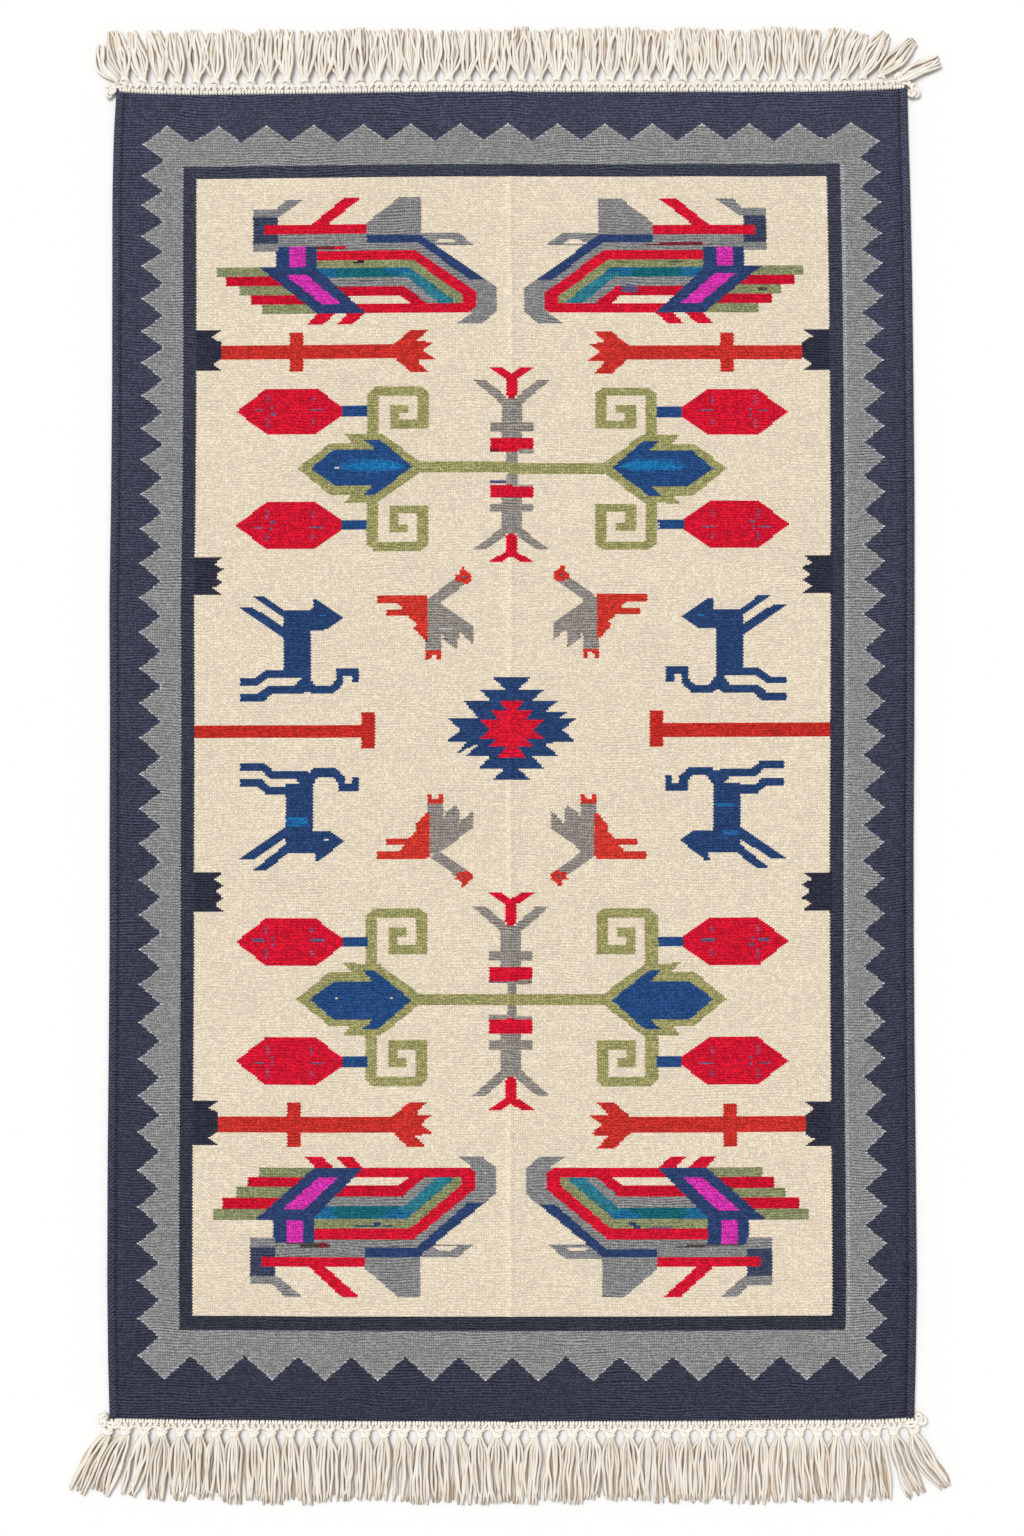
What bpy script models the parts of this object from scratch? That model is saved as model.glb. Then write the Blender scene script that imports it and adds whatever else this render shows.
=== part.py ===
"""Flat-woven dhurrie rug with a knotted fringe at each end, lying flat on the floor.

Metres, +Z up, +Y towards the end with the shorter tassels. The underside is on z = 0, and the
box of the whole rug is centred on the origin.
"""

import math
import random

import bmesh
import bpy
from mathutils import Vector

MM = 0.001

# The woven cloth
FIELD_WIDTH = 0.915
FIELD_LENGTH = 1.515
CLOTH_THICKNESS = 0.0035
CLOTH_EDGE_HEIGHT = 0.0028
SELVEDGE_WIDTH = 0.009
SELVEDGE_RISE = 0.0009
FOLD_HALF_WIDTH = 0.016
LENGTHWISE_FOLD_RISE = 0.0012
CROSSWISE_FOLD_RISE = 0.0005
CROSSWISE_FOLD_Y = 0.012
SWELL_RISE = 0.0004

# The fringe
PIECE_GAP = 0.0003
TASSELS = 44
TASSEL_PITCH = 0.0208
LOCKS_PER_TASSEL = 3
KNOT_HALF_WIDTH = 0.0055
KNOT_FLANK = 0.0020
MIDDLE_LOCK_HALF_ROOT = 0.0019
LOCK_BEND_SHARE = 0.42
LOCK_WIDTH_AT_BEND = 0.0049
LOCK_WIDTH_AT_TIP = 0.0042
LOCK_PARTING_AT_BEND = 0.0013
LOCK_PARTING_AT_TIP = 0.0019
LOCK_HEIGHT_AT_BEND = 0.0042
LOCK_HEIGHT_AT_TIP = 0.0022
LOCK_LENGTH_SPREAD = 0.07
LEAN_WAVES = ((2.2, 0.7, 0.4), (0.5, 2.3, 1.9))
RANDOM_SEED = 7

# The cloth's sides wander: place along the rug (-1 near end, 1 far end), and how far the left and
# the right side lie outside the straight line, in mm.
SIDE_WANDER = (
    # place, left, right
    (-1.00, -2.6, -2.8),
    (-0.91, -0.5, -0.8),
    (-0.80, 0.8, 0.8),
    (-0.62, 1.0, 0.3),
    (-0.46, 0.4, -0.5),
    (-0.30, 0.0, -0.9),
    (-0.14, 0.6, -0.6),
    (0.04, 0.7, 0.8),
    (0.22, 2.0, 1.8),
    (0.38, 0.7, 2.3),
    (0.54, 0.1, 1.8),
    (0.70, 0.4, 1.0),
    (0.84, 0.8, -0.8),
    (0.93, -0.4, -2.6),
    (1.00, -3.2, -3.6),
)

# The cloth's ends wander: place across the rug (-1 left, 1 right), and how far the far and the
# near end lie outside the straight line, in mm.
END_WANDER = (
    # place, far end, near end
    (-1.00, 0.9, -2.8),
    (-0.91, -1.4, -1.8),
    (-0.78, -2.6, -0.7),
    (-0.64, -1.8, -0.5),
    (-0.48, -0.9, 0.4),
    (-0.32, 0.3, 0.5),
    (-0.16, 1.0, 0.6),
    (0.16, 0.8, 0.6),
    (0.32, 0.6, 0.6),
    (0.48, 1.0, 0.4),
    (0.64, 0.6, -0.5),
    (0.78, 1.2, -0.6),
    (0.91, 2.8, -1.4),
    (1.00, 5.0, -3.8),
)

# Cross-section of the knotted heading, from the cloth outwards, in mm. Between two knots it is
# the row of warp loops alone. At a knot it dips behind the loops, swells over the knot and runs
# out to the tassel's root, which is narrower than the knot.
HEADING_SECTION = (
    # loops: outward, height; knot: outward, height, share of the knot's width
    (0.0, 0.0, 0.0, 0.0, 1.0),
    (0.0, 3.4, 0.0, 3.4, 1.0),
    (3.6, 4.6, 3.6, 4.6, 1.0),
    (7.2, 3.4, 7.4, 3.6, 1.0),
    (9.2, 2.6, 12.6, 7.0, 1.0),
    (10.0, 1.6, 17.0, 4.4, 0.8),
    (10.0, 0.0, 17.0, 0.0, 0.8),
)
ROOT_TOP = 5
ROOT_FLOOR = 6

# The loop knotted round each corner: how far the section has turned from the end to the side in
# degrees, how far it has gone along the side in mm, and its scale outward and upward.
CORNER_LOOP = (
    # turn, along, outward, upward
    (0.0, 0.0, 1.00, 1.00),
    (40.0, 0.0, 1.30, 1.25),
    (90.0, 1.0, 1.35, 1.35),
    (90.0, 9.0, 0.75, 0.80),
)
CORNER_CLEARANCE = 0.0009

# Each end: its side of the cloth, its tassels' length, and how the tassels next to the left and
# the right corner lean away from the middle, from the corner inwards, in degrees at the root and
# at the tip.
ENDS = (
    {
        "name": "fringe_top",
        "side": 1,
        "tassel_length": 0.0510,
        "left_leans": ((46, -4), (20, 14), (16, 13), (12, 12), (7, 9)),
        "right_leans": ((62, 54), (44, 36), (27, 22), (16, 12), (9, 8)),
    },
    {
        "name": "fringe_bottom",
        "side": -1,
        "tassel_length": 0.0700,
        "left_leans": ((42, 26), (26, 18), (14, 12), (5, 6), (2, 3)),
        "right_leans": ((28, 40), (14, 28), (3, 8), (1, 2), (0, 1)),
    },
)

# Colours, as linear RGB
CREAM_WOOL = (0.78, 0.67, 0.51, 1.0)
NATURAL_COTTON = (0.80, 0.75, 0.65, 1.0)


def interpolated(table, place, column):
    """A column of a table at this place, straight between its rows and level past its ends."""
    for low, high in zip(table, table[1:]):
        if place <= high[0]:
            share = max(0.0, (place - low[0]) / (high[0] - low[0]))
            return low[column] + share * (high[column] - low[column])
    return table[-1][column]


def cloth_plan(across, along):
    """Where a place of the cloth, from -1 to 1 each way, lies in plan."""
    left = interpolated(SIDE_WANDER, along, 1) * MM
    right = interpolated(SIDE_WANDER, along, 2) * MM
    far = interpolated(END_WANDER, across, 1) * MM
    near = interpolated(END_WANDER, across, 2) * MM
    x = across * FIELD_WIDTH / 2 + right * (1 + across) / 2 - left * (1 - across) / 2
    y = along * FIELD_LENGTH / 2 + far * (1 + along) / 2 - near * (1 - along) / 2
    return x, y


def ridge(distance, half_width):
    """A soft ridge: 1 at its crest, 0 from its half width on."""
    if abs(distance) >= half_width:
        return 0.0
    return 0.5 + 0.5 * math.cos(math.pi * distance / half_width)


def cloth_height(across, along):
    """Height of the cloth's face: its thickness, thicker selvedges, the folds and a low swell."""
    x = across * FIELD_WIDTH / 2
    y = along * FIELD_LENGTH / 2
    if abs(across) == 1 or abs(along) == 1:
        base = CLOTH_EDGE_HEIGHT
    else:
        base = CLOTH_THICKNESS
        base += SWELL_RISE * math.sin(11 * x + 2) * math.sin(7 * y + 1)
    to_side = FIELD_WIDTH / 2 - abs(x)
    selvedge = SELVEDGE_RISE * ridge(to_side - SELVEDGE_WIDTH / 2, SELVEDGE_WIDTH / 2)
    stronger_at_ends = 0.6 + 0.4 * along * along
    lengthwise = LENGTHWISE_FOLD_RISE * ridge(x, FOLD_HALF_WIDTH) * stronger_at_ends
    crosswise = CROSSWISE_FOLD_RISE * ridge(y - CROSSWISE_FOLD_Y, FOLD_HALF_WIDTH)
    return base + selvedge + max(lengthwise, crosswise)


def grid_places():
    """The places across and along at which the cloth's face has points."""
    half_width = FIELD_WIDTH / 2
    half_length = FIELD_LENGTH / 2
    across = {row[0] for row in END_WANDER}
    for inset in (SELVEDGE_WIDTH / 2, SELVEDGE_WIDTH):
        across |= {1 - inset / half_width, inset / half_width - 1}
    across |= {step * FOLD_HALF_WIDTH / 2 / half_width for step in (-2, -1, 0, 1, 2)}
    along = {row[0] for row in SIDE_WANDER}
    inset = SELVEDGE_WIDTH / half_length
    along |= {1 - inset, inset - 1}
    along |= {
        (CROSSWISE_FOLD_Y + step * FOLD_HALF_WIDTH) / half_length for step in (-1, 0, 1)
    }
    return sorted(across), sorted(along)


def cloth_mesh():
    """The cloth as one closed slab: a face with its relief over a flat underside."""
    across, along = grid_places()
    bm = bmesh.new()
    top = []
    floor = []
    for v in along:
        plan = [cloth_plan(u, v) for u in across]
        heights = [cloth_height(u, v) for u in across]
        top.append([bm.verts.new((x, y, z)) for (x, y), z in zip(plan, heights)])
        floor.append([bm.verts.new((x, y, 0.0)) for x, y in plan])
    last_row = len(along) - 1
    last_column = len(across) - 1
    for j in range(last_row):
        for i in range(last_column):
            a, b = top[j][i], top[j][i + 1]
            c, d = top[j + 1][i + 1], top[j + 1][i]
            bm.faces.new((a, b, c, d))
            a, b = floor[j][i], floor[j][i + 1]
            c, d = floor[j + 1][i + 1], floor[j + 1][i]
            bm.faces.new((d, c, b, a))
    rim = [(0, i) for i in range(last_column)]
    rim += [(j, last_column) for j in range(last_row)]
    rim += [(last_row, i) for i in range(last_column, 0, -1)]
    rim += [(j, 0) for j in range(last_row, 0, -1)]
    for (j, i), (n, m) in zip(rim, rim[1:] + rim[:1]):
        bm.faces.new((floor[j][i], floor[n][m], top[n][m], top[j][i]))
    return bm


class Heading:
    """The knotted heading along one end, with its frame: x across, and outward from the cloth."""

    def __init__(self, end):
        self.side = end["side"]
        self.bm = bmesh.new()

    def point(self, x, outward, height):
        """A point this far outward of the cloth's end, above the cloth's own place x."""
        across = x / (FIELD_WIDTH / 2)
        edge_x, edge_y = cloth_plan(max(-1.0, min(1.0, across)), self.side)
        past = x - max(-1.0, min(1.0, across)) * FIELD_WIDTH / 2
        return Vector((edge_x + past, edge_y + self.side * (PIECE_GAP + outward), height))

    def loop_section(self, x):
        """One cross-section of the heading between two knots."""
        places = [self.point(x, row[0] * MM, row[1] * MM) for row in HEADING_SECTION]
        return [self.bm.verts.new(place) for place in places]

    def knot_section(self, x, offset):
        """One cross-section of the knot at x, this far to the right of its middle."""
        made = []
        for row in HEADING_SECTION:
            place = self.point(x + offset * row[4], row[2] * MM, row[3] * MM)
            made.append(self.bm.verts.new(place))
        return made

    def corner_section(self, hand, turn, along, outward, upward):
        """A section of the loop round the corner on this hand, turned towards the cloth's side."""
        corner_x, corner_y = cloth_plan(hand, self.side)
        angle = math.radians(turn)
        made = []
        for row in HEADING_SECTION:
            reach = CORNER_CLEARANCE + row[0] * MM * outward
            x = corner_x + hand * reach * math.sin(angle)
            y = corner_y + self.side * (reach * math.cos(angle) - along * MM)
            made.append(self.bm.verts.new((x, y, row[1] * MM * upward)))
        return made

    def face(self, corners):
        self.bm.faces.new(corners if self.side > 0 else corners[::-1])

    def join(self, first, second, with_root=False):
        """Faces between two sections, from left to right, open at the root where a lock begins."""
        for k in range(len(first)):
            if with_root and k == ROOT_TOP:
                continue
            n = (k + 1) % len(first)
            self.face((first[k], second[k], second[n], first[n]))

    def lock(self, left, right, x, order, leans, length):
        """One lock of yarn, grown from the heading's open face between two sections."""
        ring = [left[ROOT_FLOOR], left[ROOT_TOP], right[ROOT_TOP], right[ROOT_FLOOR]]
        root = self.point(x, HEADING_SECTION[ROOT_TOP][2] * MM, 0.0)
        centre = Vector((root.x, root.y))
        steps = (
            (LOCK_BEND_SHARE, leans[0], LOCK_WIDTH_AT_BEND, LOCK_PARTING_AT_BEND,
             LOCK_HEIGHT_AT_BEND),
            (1 - LOCK_BEND_SHARE, leans[1], LOCK_WIDTH_AT_TIP, LOCK_PARTING_AT_TIP,
             LOCK_HEIGHT_AT_TIP),
        )
        for share, lean, width, parting, height in steps:
            angle = math.radians(lean)
            ahead = Vector((math.sin(angle), self.side * math.cos(angle)))
            beside = Vector((math.cos(angle), -self.side * math.sin(angle)))
            centre = centre + ahead * length * share
            middle = centre + beside * order * (width + parting)
            near = middle - beside * width / 2
            far = middle + beside * width / 2
            places = ((near, 0.0), (near, height), (far, height), (far, 0.0))
            grown = [self.bm.verts.new((p.x, p.y, z)) for p, z in places]
            for k in range(4):
                n = (k + 1) % 4
                self.face((ring[k], ring[n], grown[n], grown[k]))
            ring = grown
        self.face(ring)


def tassel_leans(end, number):
    """How far a tassel leans to the right, in degrees, at its root and at its tip."""
    from_right = TASSELS - 1 - number
    if number < len(end["left_leans"]):
        return [-lean for lean in end["left_leans"][number]]
    if from_right < len(end["right_leans"]):
        return list(end["right_leans"][from_right])
    lean = sum(size * math.sin(rate * number + start) for size, rate, start in LEAN_WAVES)
    return [lean, lean]


def fringe_mesh(end):
    """The heading of one end with its knots, corner loops and the locks of each tassel."""
    heading = Heading(end)
    spread = random.Random(RANDOM_SEED + end["side"])
    corner = [heading.corner_section(-1, *row) for row in CORNER_LOOP[::-1]]
    heading.face(corner[0])
    for first, second in zip(corner, corner[1:]):
        heading.join(first, second)
    before = corner[-1]
    for number in range(TASSELS):
        x = (number - (TASSELS - 1) / 2) * TASSEL_PITCH
        flank = KNOT_HALF_WIDTH + KNOT_FLANK
        left_flank = heading.loop_section(x - flank)
        heading.join(before, left_flank)
        edges = (-KNOT_HALF_WIDTH, -MIDDLE_LOCK_HALF_ROOT, MIDDLE_LOCK_HALF_ROOT, KNOT_HALF_WIDTH)
        knot = [heading.knot_section(x, edge) for edge in edges]
        heading.join(left_flank, knot[0])
        leans = tassel_leans(end, number)
        for k in range(LOCKS_PER_TASSEL):
            heading.join(knot[k], knot[k + 1], with_root=True)
            length = end["tassel_length"] * (1 - LOCK_LENGTH_SPREAD * spread.random())
            order = k - (LOCKS_PER_TASSEL - 1) / 2
            heading.lock(knot[k], knot[k + 1], x, order, leans, length)
        before = heading.loop_section(x + flank)
        heading.join(knot[-1], before)
    for row in CORNER_LOOP:
        section = heading.corner_section(1, *row)
        heading.join(before, section)
        before = section
    heading.face(before[::-1])
    return heading.bm


def cloth_material(name, colour, roughness):
    material = bpy.data.materials.new(name)
    material.use_nodes = True
    shader = material.node_tree.nodes["Principled BSDF"]
    shader.inputs["Base Color"].default_value = colour
    shader.inputs["Roughness"].default_value = roughness
    shader.inputs["Metallic"].default_value = 0.0
    return material


def add_object(name, bm, material):
    mesh = bpy.data.meshes.new(name)
    bm.to_mesh(mesh)
    bm.free()
    mesh.materials.append(material)
    obj = bpy.data.objects.new(name, mesh)
    bpy.context.scene.collection.objects.link(obj)
    return obj


def centre_on_origin(objects):
    """Moves the whole rug in plan, so that its box is centred on the origin."""
    points = [vertex.co for obj in objects for vertex in obj.data.vertices]
    for axis in (0, 1):
        places = [point[axis] for point in points]
        middle = (min(places) + max(places)) / 2
        for obj in objects:
            obj.location[axis] = -middle


def main():
    for obj in list(bpy.data.objects):
        bpy.data.objects.remove(obj)
    wool = cloth_material("cream_wool", CREAM_WOOL, 0.9)
    cotton = cloth_material("natural_cotton", NATURAL_COTTON, 0.85)
    objects = [add_object("rug_field", cloth_mesh(), wool)]
    for end in ENDS:
        objects.append(add_object(end["name"], fringe_mesh(end), cotton))
    centre_on_origin(objects)


main()
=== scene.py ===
"""Looks of the flat-woven dhurrie rug: its woven motifs, its two knotted headings and its tassels.

Metres, +Z up, +Y towards the end with the shorter tassels. Motifs are charted in weave steps:
U counts warps from the middle to the right, V counts wefts from the middle to the far end.
"""

import math
import random

import bpy
import numpy as np
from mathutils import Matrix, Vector
from mathutils.geometry import delaunay_2d_cdt


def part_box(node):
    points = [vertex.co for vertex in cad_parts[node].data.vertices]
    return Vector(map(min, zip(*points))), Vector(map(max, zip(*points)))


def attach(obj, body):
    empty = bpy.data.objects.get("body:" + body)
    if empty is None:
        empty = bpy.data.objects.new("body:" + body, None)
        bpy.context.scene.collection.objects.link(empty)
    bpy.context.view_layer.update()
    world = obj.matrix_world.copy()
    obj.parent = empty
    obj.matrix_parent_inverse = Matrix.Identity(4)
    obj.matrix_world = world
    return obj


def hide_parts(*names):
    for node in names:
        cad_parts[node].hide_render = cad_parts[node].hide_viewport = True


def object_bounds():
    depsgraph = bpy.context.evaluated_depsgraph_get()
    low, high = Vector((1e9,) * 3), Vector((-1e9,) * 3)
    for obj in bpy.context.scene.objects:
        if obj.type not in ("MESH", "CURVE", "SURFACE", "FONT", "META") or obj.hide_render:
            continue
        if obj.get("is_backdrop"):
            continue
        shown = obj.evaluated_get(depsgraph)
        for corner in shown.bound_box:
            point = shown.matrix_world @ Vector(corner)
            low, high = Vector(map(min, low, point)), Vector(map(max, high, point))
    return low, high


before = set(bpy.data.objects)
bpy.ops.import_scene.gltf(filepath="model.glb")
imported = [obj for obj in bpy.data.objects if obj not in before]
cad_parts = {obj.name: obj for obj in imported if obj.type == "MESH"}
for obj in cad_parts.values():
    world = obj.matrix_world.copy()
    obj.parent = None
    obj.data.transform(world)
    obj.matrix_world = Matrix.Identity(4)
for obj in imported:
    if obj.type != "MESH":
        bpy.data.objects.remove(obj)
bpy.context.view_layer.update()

MM = 0.001

# The woven cloth, as the CAD has it
FIELD_WIDTH = 0.915
FIELD_LENGTH = 1.515
CLOTH_THICKNESS = 0.0035
CLOTH_EDGE_HEIGHT = 0.0028
FOLD_HALF_WIDTH = 0.016
CROSSWISE_FOLD_RISE = 0.0005
CROSSWISE_FOLD_Y = 0.012
SWELL_RISE = 0.0004
SWELL_RATES = (11, 7)  # radians a metre, across and along
SWELL_STARTS = (2, 1)
FOLD_MIDDLE_SHARE = 0.75  # the lengthwise fold's height in the rug's middle

# Cross-section of the lengthwise fold: distance to the right of the middle and height, in mm
FOLD_SECTION = (
    (-15.6, 0.00), (-10.4, 0.10), (-7.8, 0.25), (-5.2, 0.60), (-2.6, 1.20), (0.0, 1.65),
    (2.6, 0.80), (5.2, 0.75), (7.8, 0.45), (10.4, 0.20), (15.6, 0.00),
)

# The weave: a warp every 2.6 mm and a weft every 1.8 mm
WARPS = 352
WEFTS = 842
HALF_WARPS = WARPS / 2
HALF_WEFTS = WEFTS / 2
SELVEDGE_WARPS = 4
FIELD_WARPS = WARPS - 2 * SELVEDGE_WARPS
HALF_FIELD = FIELD_WARPS / 2
WARP_MM = FIELD_WIDTH / MM / WARPS
WEFT_MM = FIELD_LENGTH / MM / WEFTS

# Points of the cloth's face away from the motifs: every so many warps and wefts, and closer
# together over the fold lines and at the ends
GRID_WARPS = 8
GRID_WEFTS = 12
FOLD_WARPS = (-6, -4, -3, -2, -1, 0, 1, 2, 3, 4, 6)
FOLD_WEFTS = (-3, 0, 3, 6, 9, 12, 16)
END_WEFTS = (1, 3, 6)
TOOTH_SHORT = 0.6  # a dovetail's teeth reach so much less than a whole warp

# Cross-section of a selvedge, from the field to the edge: distance from the edge and height, in mm
SELVEDGE_SECTION = (
    (9.7, 2.7), (9.0, 3.4), (8.0, 4.1), (6.4, 4.5), (4.4, 4.6), (2.6, 4.4), (1.2, 3.8),
    (0.3, 2.8), (0.0, 1.6),
)
SELVEDGE_END_SHARE = 0.85  # its height at the cloth's ends

# The cloth's sides wander: place along the rug (-1 near end, 1 far end), and how far the left and
# the right side lie outside the straight line, in mm
SIDE_WANDER = (
    (-1.00, -2.6, -2.8), (-0.91, -0.5, -0.8), (-0.80, 0.8, 0.8), (-0.62, 1.0, 0.3),
    (-0.46, 0.4, -0.5), (-0.30, 0.0, -0.9), (-0.14, 0.6, -0.6), (0.04, 0.7, 0.8),
    (0.22, 2.0, 1.8), (0.38, 0.7, 2.3), (0.54, 0.1, 1.8), (0.70, 0.4, 1.0), (0.84, 0.8, -0.8),
    (0.93, -0.4, -2.6), (1.00, -3.2, -3.6),
)

# The cloth's ends wander: place across the rug (-1 left, 1 right), and how far the far and the
# near end lie outside the straight line, in mm
END_WANDER = (
    (-1.00, 0.9, -2.8), (-0.91, -1.4, -1.8), (-0.78, -2.6, -0.7), (-0.64, -1.8, -0.5),
    (-0.48, -0.9, 0.4), (-0.32, 0.3, 0.5), (-0.16, 1.0, 0.6), (0.16, 0.8, 0.6),
    (0.32, 0.6, 0.6), (0.48, 1.0, 0.4), (0.64, 0.6, -0.5), (0.78, 1.2, -0.6), (0.91, 2.8, -1.4),
    (1.00, 5.0, -3.8),
)

# The fringe. Its tassels lean by so many degrees to the outside, at the root and at the tip, the
# outermost tassel first.
PIECE_GAP = 0.0003
TASSELS = 44
ROOT_OUTWARD = 17.0  # mm
LOCK_BEND_SHARE = 0.42
LEAN_WAVES = ((2.2, 0.7, 0.4), (0.5, 2.3, 1.9))
ENDS = (
    {
        "name": "top",
        "side": 1,
        "tassel_length": 0.0510,
        "left_leans": ((16, 14), (14, 12), (11, 11), (8, 9), (6, 7)),
        "right_leans": ((62, 64), (52, 40), (33, 28), (22, 18), (13, 10)),
        "places": ((-0.5, -457.6), (43.5, 457.6)),  # number of a tassel, and its place in mm
        "loop_pitch": 3.47,
        "knot_size": 1.0,
        "reach": 1.09,
        "tone": 0.0,
    },
    {
        "name": "bottom",
        "side": -1,
        "tassel_length": 0.0700,
        "left_leans": ((38, 22), (26, 18), (14, 12), (5, 6), (2, 3)),
        "right_leans": ((24, 38), (14, 26), (3, 8), (1, 2), (0, 1)),
        "places": ((0, -459.2), (10, -252.4), (35, 282.2), (43, 456.2)),
        "loop_pitch": 3.55,
        "knot_size": 1.14,
        "reach": 1.05,
        "tone": -0.12,
    },
)

# Yarn colours as they look in the photo, sRGB
YARNS = {
    "outer_navy": (59, 61, 78),
    "inner_navy": (54, 57, 69),
    "grey": (136, 136, 136),
    "turned_grey": (172, 171, 174),
    "tip_grey": (206, 204, 206),
    "cream": (229, 214, 191),
    "crimson": (205, 19, 46),
    "tomato": (195, 47, 41),
    "madder": (187, 42, 36),
    "stripe_red": (194, 15, 42),
    "hen_red": (200, 53, 43),
    "medallion_red": (209, 22, 48),
    "cat_blue": (39, 64, 107),
    "band_blue": (44, 63, 106),
    "leaf_blue": (36, 71, 122),
    "leaf_cyan": (27, 112, 168),
    "teal": (22, 95, 107),
    "olive": (152, 149, 98),
    "sage": (134, 138, 99),
    "bird_grey": (131, 131, 131),
    "hen_grey": (141, 134, 128),
    "magenta": (206, 49, 166),
    "sea_blue": (30, 99, 140),
    "sea_green": (44, 116, 134),
    "leaf_mid": (36, 90, 146),
    "block_navy": (44, 46, 60),
    "maroon": (120, 34, 44),
    "dark_olive": (98, 99, 68),
    "black": (38, 38, 42),
    "tail_navy": (57, 64, 88),
    "slate": (92, 84, 118),
    "charcoal": (74, 66, 62),
}
YARN_NAMES = list(YARNS)
NAVY_FADE = 0.17  # the navy yarns are this much lighter at the far end, and darker at the near one


# ---------------------------------------------------------------------------------------------
# The chart

# A motif is charted in weave steps, as rows of a yarn and the shapes that it fills, painted in this
# order. A shape is an outline's corners, or a box's left, bottom, right and top. A motif lies in the
# left half of the rug, and the right half mirrors it.


def corners(shape):
    if isinstance(shape[0], tuple):
        return shape
    left, bottom, right, top = shape
    return (left, bottom), (right, bottom), (right, top), (left, top)


def mirrored(points):
    """A shape and its mirror image about row 0, as one closed outline."""
    return points + tuple((u, -row) for u, row in reversed(points) if row)


BIRD = (
    ("sage", (-130, 24, -100, 30), (-119.6, 12, -92, 18), (-109.5, 0, -84, 6)),
    ("stripe_red", (-126, 18, -96, 24), (-115.3, 6, -88, 12)),
    ("bird_grey", ((-86, 45), (-64, 45), (-64, 50), (-40.5, 50), (-12, 21), (-7, 16), (-7, 0),
                   (-13, -7), (-24, -7), (-18, -1), (-18, 0), (-86, 0)),
     ((-45, 50.5), (-23.6, 50.5), (-16.8, 43), (-45, 43))),
    ("cream", ((-34.5, 44.2), (-31.5, 46.6), (-26.5, 46.6), (-24, 44.2))),
    ("band_blue", ((-64, 50), (-40.5, 50), (-12, 21), (-19.3, 21), (-41.7, 45), (-64, 45))),
    ("crimson", ((-86, 40), (-42.5, 40), (-15.5, 12.5), (-15.5, 3), (-18.5, 0), (-86, 0))),
    ("sage", ((-86, 34), (-44, 34), (-22, 10.5), (-22, 6), (-86, 6))),
    ("teal", ((-86, 29), (-45.5, 29), (-26, 8), (-26, 6), (-86, 6))),
    ("sea_blue", ((-86, 29), (-75, 29), (-78, 26), (-76, 23), (-86, 23)),
     ((-57, 29), (-45.5, 29), (-42, 25), (-46, 23), (-54, 25))),
    ("sea_green", ((-48, 26), (-42, 25), (-26, 8), (-26, 6), (-33.5, 6), (-49, 22.5))),
    ("bird_grey", ((-86, 23), (-47, 23), (-32.5, 6), (-86, 6))),
    ("stripe_red", ((-86, 17), (-47.5, 17), (-38, 6), (-86, 6))),
    ("cream", ((-73.4, 11), (-49.5, 11), (-45, 6), (-70, 6))),
    ("band_blue", (-104, 28.6, -86, 42.4), ((-111.5, 29.7), (-87, 29.7), (-64.5, 0), (-86, 0))),
    ("magenta", (-98.4, 30, -91.4, 42.4), ((-99.7, 24.5), (-90.4, 24.5), (-75.6, 6), (-84, 6))),
    ("bird_grey", (-103.5, 42.4, -64, 50.3), (-113.8, 39.6, -103.2, 66.5),
     ((-104, 66), (-99, 73), (-91.5, 73), (-101, 62.5), (-104, 61))),
    ("tail_navy", (-113.8, 45, -103.2, 61.5)),
    ("crimson", (-109, 50.3, -64, 56.3), ((-88.3, 56.3), (-74, 73.3), (-66.3, 73.3), (-81, 56.3))),
    ("bird_grey", ((-64, 57.2), (-49.4, 73.4), (-40, 73.4), (-40, 50), (-64, 50))),
    ("crimson", ((-85.3, 0), (-77.2, 0), (-82.7, -7), (-90, -7)),
     ((-72.1, 0), (-64.5, 0), (-69.6, -7), (-76.8, -7))),
)

ARROW = (
    ("tomato", (-98, -12.6, -92, 12.6),
     ((-128.4, 4.5), (-52, 4.5), (-45, 12.8), (-37.2, 12.8), (-42, 6), (-34.2, 5.4), (-39.4, 0.4),
      (-34.2, -5.6), (-42, -6.4), (-37.2, -13.4), (-45, -13.4), (-52, -4.5), (-128.4, -4.5))),
)

ARROW_BLOCK = (
    ("block_navy", mirrored(((-140, 12.8), (-128.6, 12.8), (-132.5, 8.7), (-128.3, 5.2)))),
)

BUD = (
    ("crimson", mirrored(((-121.2, 0), (-108, 14.7), (-86.3, 14.7), (-74.8, 3)))),
    ("leaf_blue", (-74.8, -3.3, -63.6, 3.3)),
    ("slate", (-108, 5, -107, 10.2), (-108, -10.2, -107, -4), (-113, 0.5, -108.5, 1.6),
     (-105.8, 1, -104.6, 3), (-105.8, -3, -104.2, -1), (-88.4, 6, -87.3, 9.4),
     (-88.4, -8.6, -87.3, -4.6), (-88.6, 0.5, -82.6, 1.6)),
)

SCROLL = (
    ("olive", ((-63.6, 18), (-63.6, 48), (-60.1, 52), (-40.1, 52), (-36.6, 48), (-36.6, 25.4),
               (-54.2, 25.4), (-54.2, 40.4), (-46, 40.4), (-46, 35.2), (-49.8, 35.2),
               (-49.8, 30.8), (-41.6, 30.8), (-41.6, 46.3), (-58.5, 46.3), (-58.5, 18))),
)

LEAF = (
    ("olive", (-41, -3.0, 1, 3.3),
     ((-94.4, 0), (-80, 16), (-70.5, 16), (-74, 22), (-57.5, 22), (-40.3, 3.4), (-40.3, -3),
      (-58.3, -21.6), (-74, -22.3), (-70.5, -17), (-80, -17))),
    ("leaf_blue", ((-88.4, 0), (-78.4, 12), (-60.4, 12), (-65.4, 18), (-58.2, 18), (-44, 0.5),
                   (-60, -17.3), (-65.4, -17.3), (-61.3, -11.3), (-77.6, -11.3))),
)

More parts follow.
